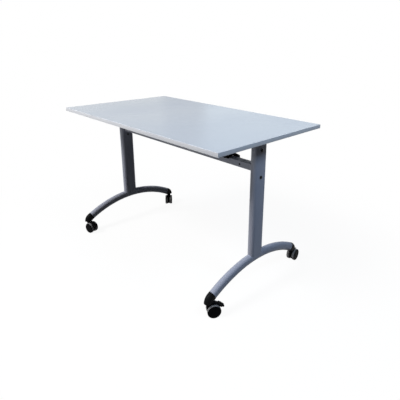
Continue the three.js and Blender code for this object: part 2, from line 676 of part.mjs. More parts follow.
function wheelSolid() {
  const radius = CASTER.wheel / 2 / Math.cos(Math.PI / WHEEL.sides);
  const inner = CASTER.web / 2 + WHEEL.gap;
  const outer = inner + CASTER.tread;
  const bore = AXLE.diameter / 2 + FIT;
  const boreEnd = AXLE.half + FIT;
  const profile = [
    [0, boreEnd],
    [bore, boreEnd],
    [bore, inner],
    [radius - WHEEL.chamfer, inner],
    [radius, inner + WHEEL.chamfer],
    ...WHEEL_SHOULDER.map(([rim, face]) => [radius - rim, outer - face]),
    [0, outer + WHEEL.dome],
  ];
  const points = profile.map(([r, along]) => new THREE.Vector2(r, along));
  return new THREE.LatheGeometry(points, WHEEL.sides, Math.PI / WHEEL.sides);
}

function stemSolid() {
  const pin = barZ(CASTER.stem, 0, 0, [STEM.foot, CAP.bottom + CAP.socket - PAST]);
  const collar = barZ(STEM.collar, 0, 0, [NECK.top + GAP, CAP.bottom - FIT]);
  return join(pin, collar);
}

function buildCaster(name, { side, end, heading, brake }) {
  const group = new THREE.Group();
  group.position.set(side * COLUMN.x, COLUMN.y + FOOT.y + end * STEM_REACH, 0);
  const swivel = new THREE.Group();
  swivel.rotation.z = degrees(heading);
  group.add(mesh(`caster_stem_${name}`, stemSolid(), ZINC_STEEL), swivel);
  const axle = barY(AXLE.diameter, CASTER.trail, [-AXLE.half, AXLE.half], AXLE_Z);
  swivel.add(mesh(`caster_hood_${name}`, hoodSolid(brake), BLACK_PLASTIC));
  swivel.add(mesh(`caster_axle_${name}`, axle, ZINC_STEEL));
  for (const [label, turn] of [["a", Math.PI], ["b", 0]]) {
    const wheel = mesh(`caster_wheel_${label}_${name}`, wheelSolid(), GREY_TYRE);
    wheel.position.set(CASTER.trail, 0, AXLE_Z);
    wheel.rotation.z = turn;
    swivel.add(wheel);
  }
  if (brake) {
    swivel.add(mesh(`brake_pedal_${name}`, pedalSolid(), BLACK_PLASTIC));
  }
  return group;
}

// The whole table
const table = new THREE.Group();
table.add(buildTop());
const standing = new THREE.Group();
standing.position.y = COLUMN.y;
table.add(standing);
standing.add(buildBeam(), buildReleaseBar());
for (const [name, side] of [["left", -1], ["right", 1]]) {
  const leg = buildLeg(name);
  leg.add(buildLegHardware(name));
  leg.position.x = side * COLUMN.x;
  leg.scale.x = side;
  standing.add(leg);
}
for (const [name, place] of Object.entries(CASTERS)) {
  table.add(buildCaster(name, place));
}

export default table;
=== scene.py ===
"""The flip-top training table, dressed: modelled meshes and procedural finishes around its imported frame.

Lengths are metres. The origin is on the floor under the middle of the top, +Z is up and -Y is the front.
"""
import json
import logging
import math
from collections.abc import Callable, Iterator, Mapping, Sequence
from contextlib import contextmanager
from dataclasses import dataclass, replace
from enum import Enum

import bmesh
import bpy
from mathutils import Matrix, Vector

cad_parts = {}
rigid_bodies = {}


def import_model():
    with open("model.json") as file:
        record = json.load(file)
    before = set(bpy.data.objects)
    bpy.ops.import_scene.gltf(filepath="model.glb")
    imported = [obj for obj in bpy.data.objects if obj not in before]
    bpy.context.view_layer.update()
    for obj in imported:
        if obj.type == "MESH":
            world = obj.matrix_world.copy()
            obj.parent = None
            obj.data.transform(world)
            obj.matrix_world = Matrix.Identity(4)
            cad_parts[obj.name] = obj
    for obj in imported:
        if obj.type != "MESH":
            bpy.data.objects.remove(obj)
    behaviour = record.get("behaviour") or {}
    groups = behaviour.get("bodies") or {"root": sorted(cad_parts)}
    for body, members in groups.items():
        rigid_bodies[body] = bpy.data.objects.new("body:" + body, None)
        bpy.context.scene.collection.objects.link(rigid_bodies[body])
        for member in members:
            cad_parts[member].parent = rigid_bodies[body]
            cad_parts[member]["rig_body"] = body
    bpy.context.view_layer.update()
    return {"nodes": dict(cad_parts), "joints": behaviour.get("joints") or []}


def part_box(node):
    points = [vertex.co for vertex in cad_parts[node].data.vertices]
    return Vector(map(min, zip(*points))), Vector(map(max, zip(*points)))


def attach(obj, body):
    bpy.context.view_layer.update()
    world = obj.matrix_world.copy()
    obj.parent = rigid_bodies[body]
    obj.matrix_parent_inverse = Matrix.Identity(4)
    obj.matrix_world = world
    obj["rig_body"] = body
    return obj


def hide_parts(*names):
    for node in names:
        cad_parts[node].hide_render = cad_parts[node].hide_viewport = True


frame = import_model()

LOG = logging.getLogger("flip_top_table")
MM = 0.001
SIDES = {"left": -1, "right": 1}
CORNERS = ("front_left", "front_right", "rear_left", "rear_right")
BRAKED = ("front_left", "front_right")
NEAR = 1e-6

Piece = bpy.types.Object
Outline = list[tuple[float, float]]
Colour = tuple[float, float, float, float]


# Reading the frame


def joint_place(name: str) -> Vector:
    """The point that a joint of the frame turns about."""
    return next(Vector(joint["pos_m"]) for joint in frame["joints"] if joint["name"] == name)


def middle(node: str) -> Vector:
    """The middle of a CAD node's box."""
    low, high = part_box(node)
    return (low + high) / 2


LEG = Vector((middle("column_right").x, middle("column_right").y, 0))
PIVOT_Z = joint_place("top_flip").z
ROD = tuple(joint_place("release_turn") - LEG)[1:]
PIN = tuple(middle("strike_pin_right") - LEG)[1:]


def on_side(side: str) -> Matrix:
    """The matrix that puts what is drawn about the right-hand column's axis on one side."""
    sign = SIDES[side]
    return Matrix.Translation((sign * LEG.x, LEG.y, 0)) @ Matrix.Diagonal((sign, 1, 1, 1))


# Outlines


def arc(u: float, v: float, radius: float, start: float, end: float, steps: int = 12) -> Outline:
    """Points along an arc.

    Args:
        u: The centre's first coordinate.
        v: The centre's second coordinate.
        radius: The arc's radius.
        start: The angle of its first point, in degrees.
        end: The angle of its last point, in degrees.
        steps: How many segments it has.

    Returns:
        The points, both ends included.
    """
    angles = [math.radians(start + (end - start) * k / steps) for k in range(steps + 1)]
    return [(u + radius * math.cos(a), v + radius * math.sin(a)) for a in angles]


def rounded(corners: Sequence[tuple[float, float, float]], steps: int = 6) -> Outline:
    """An outline with its corners rounded by arcs.

    Args:
        corners: Each corner's two coordinates and its radius, in order; a radius of 0 keeps it sharp.
        steps: How many segments each arc has.

    Returns:
        The points of the rounded outline.
    """
    outline: Outline = []
    for i, (u, v, radius) in enumerate(corners):
        here = Vector((u, v))
        if not radius:
            outline.append((u, v))
            continue
        back = (Vector(corners[i - 1][:2]) - here).normalized()
        ahead = (Vector(corners[(i + 1) % len(corners)][:2]) - here).normalized()
        half = back.angle(ahead) / 2
        centre = here + (back + ahead).normalized() * radius / math.sin(half)
        first = here + back * radius / math.tan(half) - centre
        last = here + ahead * radius / math.tan(half) - centre
        start = math.degrees(math.atan2(first.y, first.x))
        turn = (math.degrees(math.atan2(last.y, last.x)) - start + 180) % 360 - 180
        outline += arc(centre.x, centre.y, radius, start, start + turn, steps)
    return outline


def flat_oval(width: float, depth: float, steps: int = 16) -> Outline:
    """A flat-oval section: two half rounds, joined by flats, that is `depth` long in its second coordinate."""
    half = (depth - width) / 2
    return arc(0, half, width / 2, 0, 180, steps) + arc(0, -half, width / 2, 180, 360, steps)


# Bench work: the modelling steps that every piece is made with


class Axis(Enum):
    """The axis that a piece is drawn along; an outline across it has the two other coordinates, in order."""

    X = "x"
    Y = "y"
    Z = "z"

    def at(self, u: float, v: float, along: float) -> Vector:
        """The point that is drawn as (u, v) across this axis and lies `along` it."""
        places = {Axis.X: (along, u, v), Axis.Y: (u, along, v), Axis.Z: (u, v, along)}
        return Vector(places[self])

    @property
    def vector(self) -> Vector:
        """The axis as a unit vector."""
        return self.at(0, 0, 1)


class Fit(Enum):
    """How a second solid changes a piece."""

    CUT = "DIFFERENCE"
    JOIN = "UNION"
    COMMON = "INTERSECT"


def take(piece: Piece) -> None:
    """Makes a piece the only one selected, and the active one."""
    bpy.ops.object.select_all(action="DESELECT")
    piece.select_set(True)
    bpy.context.view_layer.objects.active = piece


@contextmanager
def editing(piece: Piece, mode: str = "VERT") -> Iterator[None]:
    """Holds a piece in edit mode with nothing selected.

    Args:
        piece: The piece to edit.
        mode: What is selected there: VERT, EDGE or FACE.

    Yields:
        Nothing; the piece leaves edit mode afterwards.
    """
    take(piece)
    bpy.ops.object.mode_set(mode="EDIT")
    bpy.ops.mesh.select_mode(type=mode)
    bpy.ops.mesh.select_all(action="DESELECT")
    yield
    bpy.ops.object.mode_set(mode="OBJECT")


def pick_edges(piece: Piece, wanted: Callable[[Vector, Vector], bool]) -> None:
    """Selects, in edit mode, the edges that are wanted.

    Args:
        piece: The piece that is being edited.
        wanted: Tells from an edge's middle and direction whether it is wanted.
    """
    mesh = bmesh.from_edit_mesh(piece.data)
    for edge in mesh.edges:
        first, last = (vertex.co for vertex in edge.verts)
        edge.select_set(wanted((first + last) / 2, (last - first).normalized()))
    bmesh.update_edit_mesh(piece.data)


def pick_faces(piece: Piece, wanted: Callable[[Vector, Vector], bool]) -> None:
    """Selects, in edit mode, the faces that are wanted.

    Args:
        piece: The piece that is being edited.
        wanted: Tells from a face's middle and normal whether it is wanted.
    """
    mesh = bmesh.from_edit_mesh(piece.data)
    for face in [face for face in mesh.faces if wanted(face.calc_center_median(), face.normal)]:
        face.select_set(True)
    bmesh.update_edit_mesh(piece.data)


def named(name: str) -> Piece:
    """Names the primitive that was just added and puts its place and size into its mesh."""
    piece = bpy.context.active_object
    piece.name = piece.data.name = name
    bpy.ops.object.transform_apply(location=True, rotation=True, scale=True)
    return piece


def block(name: str, low: Sequence[float], high: Sequence[float]) -> Piece:
    """A box to shape further.

    Args:
        name: The piece's name.
        low: Its lowest corner.
        high: Its highest corner.

    Returns:
        The new piece.
    """
    bpy.ops.object.select_all(action="DESELECT")
    centre = (Vector(low) + Vector(high)) / 2
    bpy.ops.mesh.primitive_cube_add(size=1, location=centre, scale=Vector(high) - Vector(low))
    return named(name)


def rod(name: str, axis: Axis, centre: Sequence[float], radius: float, half: float, sides: int = 48) -> Piece:
    """A round bar to shape further.

    Args:
        name: The piece's name.
        axis: The axis that it lies along.
        centre: Its middle.
        radius: Its radius.
        half: Half of its length.
        sides: How many sides it has.

    Returns:
        The new piece.
    """
    bpy.ops.object.select_all(action="DESELECT")
    turn = axis.vector.to_track_quat("Z", "Y").to_euler()
    bpy.ops.mesh.primitive_cylinder_add(
        vertices=sides, radius=radius, depth=2 * half, location=centre, rotation=turn
    )
    return named(name)


def drawn(name: str, points: Sequence[Vector], closed: bool = False) -> Piece:
    """A line drawn from point to point, as a vertex that is extruded along it.

    Args:
        name: The piece's name.
        points: The points in order.
        closed: Whether the last point is joined to the first.

    Returns:
        The new piece, which has edges only.
    """
    bpy.ops.object.select_all(action="DESELECT")
    bpy.ops.mesh.primitive_plane_add(size=MM, location=points[0])
    piece = named(name)
    with editing(piece):
        bpy.ops.mesh.select_all(action="SELECT")
        bpy.ops.mesh.merge(type="CENTER")
        for before, after in zip(points, points[1:]):
            bpy.ops.mesh.extrude_vertices_move(TRANSFORM_OT_translate={"value": after - before})
        if closed:
            mesh = bmesh.from_edit_mesh(piece.data)
            mesh.verts.ensure_lookup_table()
            mesh.verts[0].select_set(True)
            bmesh.update_edit_mesh(piece.data)
            bpy.ops.mesh.edge_face_add()
    return piece


def face_out(piece: Piece) -> None:
    """Merges a mesh's doubles and points its faces outwards."""
    with editing(piece):
        bpy.ops.mesh.select_all(action="SELECT")
        bpy.ops.mesh.remove_doubles(threshold=NEAR)
        bpy.ops.mesh.normals_make_consistent(inside=False)


def plate(name: str, outline: Outline, axis: Axis, low: float, high: float) -> Piece:
    """A plate of even thickness.

    Args:
        name: The piece's name.
        outline: Its outline, drawn across the axis.
        axis: The axis that its thickness lies along.
        low: Where it starts on that axis.
        high: Where it ends.

    Returns:
        The new piece, closed.
    """
    piece = drawn(name, [axis.at(u, v, low) for u, v in outline], closed=True)
    with editing(piece):
        bpy.ops.mesh.select_all(action="SELECT")
        bpy.ops.mesh.edge_face_add()
        bpy.ops.mesh.extrude_region_move(TRANSFORM_OT_translate={"value": axis.vector * (high - low)})
    face_out(piece)
    return piece


def tube(name: str, outline: Outline, axis: Axis, low: float, high: float, wall: float) -> Piece:
    """A straight tube.

    Args:
        name: The piece's name.
        outline: The outside of its section, drawn across the axis.
        axis: The axis that it lies along.
        low: Where it starts on that axis.
        high: Where it ends.
        wall: The thickness of its wall.

    Returns:
        The new piece, closed at its rims.
    """
    piece = drawn(name, [axis.at(u, v, low) for u, v in outline], closed=True)
    with editing(piece):
        bpy.ops.mesh.select_all(action="SELECT")
        bpy.ops.mesh.extrude_edges_move(TRANSFORM_OT_translate={"value": axis.vector * (high - low)})
    face_out(piece)
    thicken(piece, wall)
    return piece


def turned(name: str, profile: Outline, axis: Axis, centre: Sequence[float], steps: int = 48) -> Piece:
    """A piece turned on a lathe.

    Args:
        name: The piece's name.
        profile: Pairs of a place along the axis and a radius; it ends on the axis or closes on itself.
        axis: The axis that it is turned about.
        centre: The point on the axis from which the profile's places are measured.
        steps: How many steps its round has.

    Returns:
        The new piece, closed.
    """
    origin = Vector(centre)
    piece = drawn(name, [origin + axis.at(radius, 0, along) for along, radius in profile])
    with editing(piece):
        bpy.ops.mesh.select_all(action="SELECT")
        bpy.ops.mesh.spin(steps=steps, angle=2 * math.pi, center=origin, axis=axis.vector)
    face_out(piece)
    return piece


def swept(name: str, section: Sequence[Vector], centre: Vector, angle: float, steps: int) -> Piece:
    """A section swept round a line along X.

    Args:
        name: The piece's name.
        section: The section's points, where the sweep starts.
        centre: A point on the line.
        angle: How far it is swept, in radians from +Y towards +Z.
        steps: How many steps the sweep has.

    Returns:
        The new piece, open at both ends.
    """
    piece = drawn(name, section, closed=True)
    with editing(piece):
        bpy.ops.mesh.select_all(action="SELECT")
        bpy.ops.mesh.spin(steps=steps, angle=-angle, center=centre, axis=Axis.X.vector)
    face_out(piece)
    return piece


def close_ends(piece: Piece) -> None:
    """Fills a swept piece's open ends."""
    with editing(piece, "EDGE"):
        bpy.ops.mesh.select_non_manifold()
        bpy.ops.mesh.edge_face_add()
    face_out(piece)


def apply(piece: Piece, modifier: bpy.types.Modifier) -> None:
    """Applies a modifier to its piece."""
    take(piece)
    bpy.ops.object.modifier_apply(modifier=modifier.name)


def thicken(piece: Piece, wall: float) -> None:
    """Gives an open shell a wall on its inner side."""
    solidify = piece.modifiers.new("wall", "SOLIDIFY")
    solidify.thickness = wall
    solidify.offset = -1
    solidify.use_even_offset = True
    apply(piece, solidify)


def fitted(piece: Piece, how: Fit, *tools: Piece) -> Piece:
    """Cuts a piece by other solids, or joins them to it, and removes those.

    Args:
        piece: The piece that is changed.
        how: What the other solids do to it.
        tools: The other solids.

    Returns:
        The same piece.
    """
    for tool in tools:
        boolean = piece.modifiers.new("fit", "BOOLEAN")
        boolean.operation = how.value
        boolean.solver = "EXACT"
        boolean.object = tool
        apply(piece, boolean)
        bpy.data.objects.remove(tool)
    return piece


def ease(piece: Piece, width: float, segments: int = 2, limit: float = 40, flat: float = 0.5) -> Piece:
    """Rounds a piece's sharp edges and smooths its round faces.

    Args:
        piece: The piece that is finished.
        width: How wide the rounding is; 0 only smooths.
        segments: How many faces the rounding has across.
        limit: The angle between two faces, in degrees, past which their edge is rounded.
        flat: The angle, in degrees, up to which faces count as one flat and are merged first.

    Returns:
        The same piece.
    """
    with editing(piece):
        bpy.ops.mesh.select_all(action="SELECT")
        bpy.ops.mesh.remove_doubles(threshold=NEAR)
        bpy.ops.mesh.dissolve_limited(angle_limit=math.radians(flat))
    if width:
        bevel = piece.modifiers.new("ease", "BEVEL")
        bevel.width = width
        bevel.segments = segments
        bevel.limit_method = "ANGLE"
        bevel.angle_limit = math.radians(limit)
        apply(piece, bevel)
    take(piece)
    bpy.ops.object.shade_smooth_by_angle(angle=math.radians(limit))
    return piece


def placed_copies(pattern: Piece, places: Mapping[str, Matrix]) -> dict[str, Piece]:
    """Copies a piece to each of its places and removes the pattern.

    Args:
        pattern: The piece that was modelled once.
        places: The copies' names, each with the matrix that puts it in its place.

    Returns:
        The copies by name, each with its own mesh.
    """
    copies = {}
    for name, place in places.items():
        copy = pattern.copy()
        copy.data = pattern.data.copy()
        copy.name = copy.data.name = name
        copy.data.transform(place)
        if place.determinant() < 0:
            copy.data.flip_normals()
        bpy.context.collection.objects.link(copy)
        copies[name] = copy
    bpy.data.objects.remove(pattern)
    return copies


# Shader wiring


class Wiring:
    """A node tree, with short ways to add a node and to set or link its sockets."""

    def __init__(self, tree: bpy.types.NodeTree) -> None:
        """Empties the tree that it is given."""
        self.tree = tree
        tree.nodes.clear()

    def add(self, kind: str, inputs: Mapping[str | int, object] | None = None, **settings: object) -> bpy.types.Node:
        """Adds a node.

        Args:
            kind: The node's type, without the words ShaderNode.
            inputs: Values for its input sockets, or the output sockets to link to them.
            settings: Values for its own properties.

        Returns:
            The new node.
        """
        node = self.tree.nodes.new(kind if kind.startswith("Node") else f"ShaderNode{kind}")
        for name, value in settings.items():
            setattr(node, name, value)
        for name, value in (inputs or {}).items():
            if isinstance(value, bpy.types.NodeSocket):
                self.tree.links.new(value, node.inputs[name])
            else:
                node.inputs[name].default_value = value
        return node

    def maths(self, operation: str, *values: float | bpy.types.NodeSocket) -> bpy.types.NodeSocket:
        """Adds a Math node, its result held between 0 and 1, and gives that result."""
        return self.add("Math", dict(enumerate(values)), operation=operation, use_clamp=True).outputs[0]

    def mixed(self, factor: object, first: object, second: object) -> bpy.types.NodeSocket:
        """Mixes two colours by a factor and gives the result."""
        mix = self.add("Mix", data_type="RGBA")
        for index, value in ((0, factor), (6, first), (7, second)):
            if isinstance(value, bpy.types.NodeSocket):
                self.tree.links.new(value, mix.inputs[index])
            else:
                mix.inputs[index].default_value = value
        return mix.outputs[2]

    def spread(self, value: bpy.types.NodeSocket, low: float, high: float) -> bpy.types.NodeSocket:
        """Maps a value of 0 to 1 onto the range from low to high and gives the result."""
        return self.add("MapRange", {"Value": value, "To Min": low, "To Max": high}).outputs[0]


class Effect(Enum):
    """The surface effects that several finishes share, each one a shader node group."""

    EDGE_WEAR = "edge_wear"
    GRAIN = "fine_grain"
    SCUFFS = "scuffs"
    DUST = "settled_dust"
    DRIFT = "tone_drift"

    @property
    def group(self) -> bpy.types.NodeTree:
        """The effect's node group, built when it is first asked for."""
        return bpy.data.node_groups.get(self.value) or getattr(EffectShop, self.value)(self.value)


class EffectShop:
    """Builds the node groups of the shared effects."""

    @staticmethod
    def start(name: str, inputs: Mapping[str, float], outputs: Sequence[str]) -> tuple[Wiring, bpy.types.Node]:
        """Starts a node group of plain values.

        Args:
            name: The group's name.
            inputs: Its inputs, with their usual values.
            outputs: Its outputs.

        Returns:
            The group's wiring and its input node.
        """
        tree = bpy.data.node_groups.new(name, "ShaderNodeTree")
        for label, value in inputs.items():
            tree.interface.new_socket(label, in_out="INPUT", socket_type="NodeSocketFloat").default_value = value
        for label in outputs:
            tree.interface.new_socket(label, in_out="OUTPUT", socket_type="NodeSocketFloat")
        wiring = Wiring(tree)
        return wiring, wiring.add("NodeGroupInput")

    @staticmethod
    def spots(wiring: Wiring, scale: object, detail: float = 3.0, stretch: Sequence[float] = (1, 1, 1)) -> bpy.types.NodeSocket:
        """Adds noise on the piece's own coordinates.

        Args:
            wiring: The group or material that it is added to.
            scale: The noise's scale, in cells per metre.
            detail: How many finer layers it has.
            stretch: How much closer together it lies along each axis.

        Returns:
            Its value, from 0 to 1.
        """
        place = wiring.add("TexCoord").outputs["Object"]
        pulled = wiring.add("Mapping", {"Vector": place, "Scale": stretch}).outputs[0]
        return wiring.add("TexNoise", {"Vector": pulled, "Scale": scale, "Detail": detail}).outputs[0]

    @classmethod
    def edge_wear(cls, name: str) -> bpy.types.NodeTree:
        """A mask of the edges that hands and feet rub, broken up by noise."""
        wiring, given = cls.start(name, {"Radius": MM, "Patch Scale": 60.0, "Amount": 0.5}, ["Mask"])
        soft = wiring.add("Bevel", {"Radius": given.outputs["Radius"]}, samples=4).outputs[0]
        true = wiring.add("NewGeometry").outputs["Normal"]
        same = wiring.add("VectorMath", {0: soft, 1: true}, operation="DOT_PRODUCT").outputs["Value"]
        edge = wiring.maths("MULTIPLY", wiring.maths("SUBTRACT", 1.0, same), 6.0)
        patch = wiring.maths("MULTIPLY_ADD", cls.spots(wiring, given.outputs["Patch Scale"], 5.0), 2.6, -0.8)
        worn = wiring.maths("MULTIPLY", wiring.maths("MULTIPLY", edge, patch), given.outputs["Amount"])
        wiring.add("NodeGroupOutput", {"Mask": worn})
        return wiring.tree

    @classmethod
    def fine_grain(cls, name: str) -> bpy.types.NodeTree:
        """The height of a fine even texture, and specks that vary from grain to grain."""
        wiring, given = cls.start(name, {"Scale": 900.0}, ["Height", "Speck"])
        height = cls.spots(wiring, given.outputs["Scale"], 2.0)
        place = wiring.add("TexCoord").outputs["Object"]
        cells = wiring.add("TexVoronoi", {"Vector": place, "Scale": given.outputs["Scale"]})
        speck = wiring.add("SeparateColor", {"Color": cells.outputs["Color"]}).outputs[0]
        wiring.add("NodeGroupOutput", {"Height": height, "Speck": speck})
        return wiring.tree

    @classmethod
    def scuffs(cls, name: str) -> bpy.types.NodeTree:
        """A mask of thin rubbed lines that lie in two directions, in scattered patches."""
        wiring, given = cls.start(name, {"Scale": 40.0, "Amount": 0.5}, ["Mask"])
        lines = [
            wiring.maths("GREATER_THAN", cls.spots(wiring, given.outputs["Scale"], 4.0, stretch), 0.66)
            for stretch in ((1, 9, 9), (8, 1, 8))
        ]
        patch = wiring.maths("MULTIPLY_ADD", cls.spots(wiring, 7.0), 4.0, -2.0)
        both = wiring.maths("MULTIPLY", wiring.maths("MAXIMUM", *lines), patch)
        wiring.add("NodeGroupOutput", {"Mask": wiring.maths("MULTIPLY", both, given.outputs["Amount"])})
        return wiring.tree

    @classmethod
    def settled_dust(cls, name: str) -> bpy.types.NodeTree:
        """A mask of the dust that settles on what faces up."""
        wiring, given = cls.start(name, {"Scale": 90.0, "Amount": 0.3}, ["Mask"])
        up = wiring.add("SeparateXYZ", {0: wiring.add("TexCoord").outputs["Normal"]}).outputs["Z"]
        facing = wiring.maths("MULTIPLY_ADD", up, 1.6, -0.6)
        loose = wiring.maths("MULTIPLY", facing, cls.spots(wiring, given.outputs["Scale"], 6.0))
        wiring.add("NodeGroupOutput", {"Mask": wiring.maths("MULTIPLY", loose, given.outputs["Amount"])})
        return wiring.tree

    @classmethod
    def tone_drift(cls, name: str) -> bpy.types.NodeTree:
        """A slow change of tone over a piece."""
        wiring, given = cls.start(name, {"Scale": 3.0}, ["Share"])
        slow = cls.spots(wiring, given.outputs["Scale"], 1.0)
        wiring.add("NodeGroupOutput", {"Share": wiring.maths("MULTIPLY_ADD", slow, 2.4, -0.7)})
        return wiring.tree


# Finishes


@dataclass(frozen=True)
class Finish:
    """A surface finish, from the tones and textures that every finish here has.

    Attributes:
        name: The material's name.
        slot: The record's slot that it belongs to; not used.
        tone: Its main colour.
        drift: The colour that it drifts to over a length.
        worn: The colour of its rubbed edges and scuffs.
        roughness: How rough it is, from its smoothest to its roughest place.
        metallic: How far it reflects as metal.
        specular: How strongly it reflects otherwise.
        grain: The scale of its fine texture, in grains per metre.
        bump: How high that texture stands.
        speck: How far the grains differ in tone.
        wear: How far its edges are worn, over a radius.
        scuff: How strongly it is scuffed.
        dust: How much dust lies on it.
        drift_scale: How quickly its tone drifts, in cells per metre.
    """

    name: str
    slot: str
    tone: Colour
    drift: Colour
    worn: Colour
    roughness: tuple[float, float]
    metallic: float = 0.0
    specular: float = 0.5
    grain: float = 900.0
    bump: float = 0.1
    speck: float = 0.1
    wear: tuple[float, float] = (0.3, 1.0 * MM)
    scuff: float = 0.2
    dust: float = 0.1
    drift_scale: float = 3.0

    @property
    def material(self) -> bpy.types.Material:
        """The finish as a material, made when it is first asked for."""
        return bpy.data.materials.get(self.name) or self.mixed_up()

    def mixed_up(self) -> bpy.types.Material:
        """Mixes the finish.

        Returns:
            The new material.
        """
        material = bpy.data.materials.new(self.name)
        material.use_nodes = True
        wiring = Wiring(material.node_tree)
        drift = self.effect(wiring, Effect.DRIFT, {"Scale": self.drift_scale})["Share"]
        grain = self.effect(wiring, Effect.GRAIN, {"Scale": self.grain})
        wear = self.effect(wiring, Effect.EDGE_WEAR, {"Amount": self.wear[0], "Radius": self.wear[1]})["Mask"]
        scuff = self.effect(wiring, Effect.SCUFFS, {"Amount": self.scuff})["Mask"]
        dust = self.effect(wiring, Effect.DUST, {"Amount": self.dust})["Mask"]
        tone = wiring.mixed(drift, self.tone, self.drift)
        shaded = wiring.add("Mix", data_type="RGBA", blend_type="MULTIPLY")
        shaded.inputs[0].default_value = 1.0
        specks = wiring.spread(grain["Speck"], 1.0 - self.speck, 1.0 + self.speck)
        wiring.tree.links.new(tone, shaded.inputs[6])
        wiring.tree.links.new(specks, shaded.inputs[7])
        rubbed = wiring.mixed(wiring.maths("MAXIMUM", wear, scuff), shaded.outputs[2], self.worn)
        dusty = wiring.mixed(dust, rubbed, DUST_TONE)
        rough = wiring.spread(wiring.maths("MULTIPLY_ADD", grain["Speck"], 0.4, drift), *self.roughness)
        dull = wiring.maths("ADD", rough, wiring.maths("MULTIPLY", dust, 0.5))
        bump = wiring.add("Bump", {"Strength": self.bump, "Distance": 0.2 * MM, "Height": grain["Height"]})
        shader = wiring.add(
            "BsdfPrincipled",
            {
                "Base Color": dusty,
                "Roughness": dull,
                "Metallic": self.metallic,
                "Specular IOR Level": self.specular,
                "Normal": bump.outputs[0],
            },
        )
        wiring.add("OutputMaterial", {"Surface": shader.outputs[0]})
        return material

    def effect(
        self, wiring: Wiring, effect: Effect, values: Mapping[str, float]
    ) -> Mapping[str, bpy.types.NodeSocket]:
        """Places a shared effect in the material.

        Args:
            wiring: The material's wiring.
            effect: The effect.
            values: Its input values in this finish.

        Returns:
            Its outputs by name.
        """
        node = wiring.add("Group", node_tree=effect.group)
        for name, value in values.items():
            node.inputs[name].default_value = value
        return node.outputs


DUST_TONE = (0.42, 0.42, 0.42, 1.0)

# The laminate's slow drift between two pale tints is painted reflection: the top's uneven sheen put into its colour.
LAMINATE = Finish(
    "white_laminate", "top_laminate", (0.38, 0.42, 0.47, 1), (0.36, 0.402, 0.462, 1), (0.45, 0.485, 0.52, 1),
    (0.22, 0.30), specular=0.20, grain=1300, bump=0.10, speck=0.015, wear=(0.1, 0.5 * MM), scuff=0.10, dust=0.02, drift_scale=2.2,
)
EDGING = Finish(
    "edge_banding", "edge_band", (0.565, 0.585, 0.625, 1), (0.54, 0.56, 0.61, 1), (0.64, 0.66, 0.69, 1),
    (0.38, 0.50), grain=1600, bump=0.12, speck=0.03, wear=(0.4, 0.8 * MM), scuff=0.15, dust=0.0, drift_scale=9.0,
)
PAINT = Finish(
    "silver_powder_coat", "frame_paint", (0.312, 0.328, 0.395, 1), (0.287, 0.307, 0.382, 1), (0.415, 0.433, 0.485, 1),
    (0.28, 0.42), specular=0.13, grain=1500, bump=0.25, speck=0.16, wear=(0.35, 1.0 * MM), scuff=0.12, dust=0.03,
    drift_scale=7.0,
)
PLASTIC = Finish(
    "black_moulded_plastic", "black_plastic", (0.003, 0.003, 0.0035, 1), (0.005, 0.005, 0.0055, 1),
    (0.020, 0.020, 0.021, 1), (0.30, 0.44), specular=0.012, grain=1700, bump=0.30, speck=0.2,
    wear=(0.4, 0.6 * MM), scuff=0.15, dust=0.004, drift_scale=20.0,
)
CAP_PLASTIC = replace(PLASTIC, name="satin_moulded_plastic", specular=0.04)
TREAD = Finish(
    "grey_tread", "tread", (0.17, 0.17, 0.175, 1), (0.13, 0.13, 0.135, 1), (0.24, 0.24, 0.245, 1),
    (0.55, 0.72), specular=0.3, grain=1400, bump=0.35, speck=0.15, wear=(0.4, 1.0 * MM), scuff=0.4, dust=0.08,
    drift_scale=30.0,
)
ZINC = Finish(
    "zinc_plate", "zinc_steel", (0.60, 0.61, 0.62, 1), (0.52, 0.53, 0.54, 1), (0.70, 0.70, 0.70, 1),
    (0.26, 0.42), metallic=1.0, grain=700, bump=0.12, speck=0.08, wear=(0.3, 0.5 * MM), scuff=0.2, dust=0.04,
    drift_scale=40.0,
)
BLACK_STEEL = Finish(
    "black_coated_steel", "black_steel", (0.008, 0.008, 0.009, 1), (0.012, 0.012, 0.013, 1),
    (0.10, 0.10, 0.105, 1), (0.34, 0.50), specular=0.10, grain=1500, bump=0.2, speck=0.15,
    wear=(0.30, 0.6 * MM), scuff=0.12, dust=0.01, drift_scale=20.0,
)
NYLON = Finish(
    "natural_nylon", "nylon", (0.70, 0.68, 0.61, 1), (0.64, 0.62, 0.55, 1), (0.76, 0.74, 0.68, 1),
    (0.42, 0.55), grain=1500, bump=0.1, speck=0.03, wear=(0.2, 0.5 * MM), scuff=0.1, dust=0.02, drift_scale=40.0,
)


def dress(piece: Piece, finish: Finish, *nodes: str, body: str = "") -> Piece:
    """Gives a piece its finish and sets it on its body.

    Args:
        piece: The finished piece.
        finish: Its finish.
        nodes: The CAD nodes that it stands for.
        body: The body that it rides on; left out, the first node's.

    Returns:
        The same piece.
    """
    piece.data.materials.clear()
    piece.data.materials.append(finish.material)
    carrier = body or frame["nodes"][nodes[0]]["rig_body"]
    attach(piece, carrier)
    if nodes:
        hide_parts(*nodes)
    LOG.info("%s rides on %s, %d faces", piece.name, carrier, len(piece.data.polygons))
    return piece


def both_sides(pattern: Piece, finish: Finish, label: str, node: str) -> None:
    """Copies what is drawn for the right-hand leg to both sides and dresses the copies.

    Args:
        pattern: The piece, drawn about the right-hand column's axis.
        finish: Its finish.
        label: The copies' name, without the side.
        node: The name of the CAD nodes that they stand for, without the side.
    """
    places = {f"{label}_{side}": on_side(side) for side in SIDES}
    for side, piece in zip(SIDES, placed_copies(pattern, places).values()):
        dress(piece, finish, f"{node}_{side}")


# The table's sub-assemblies


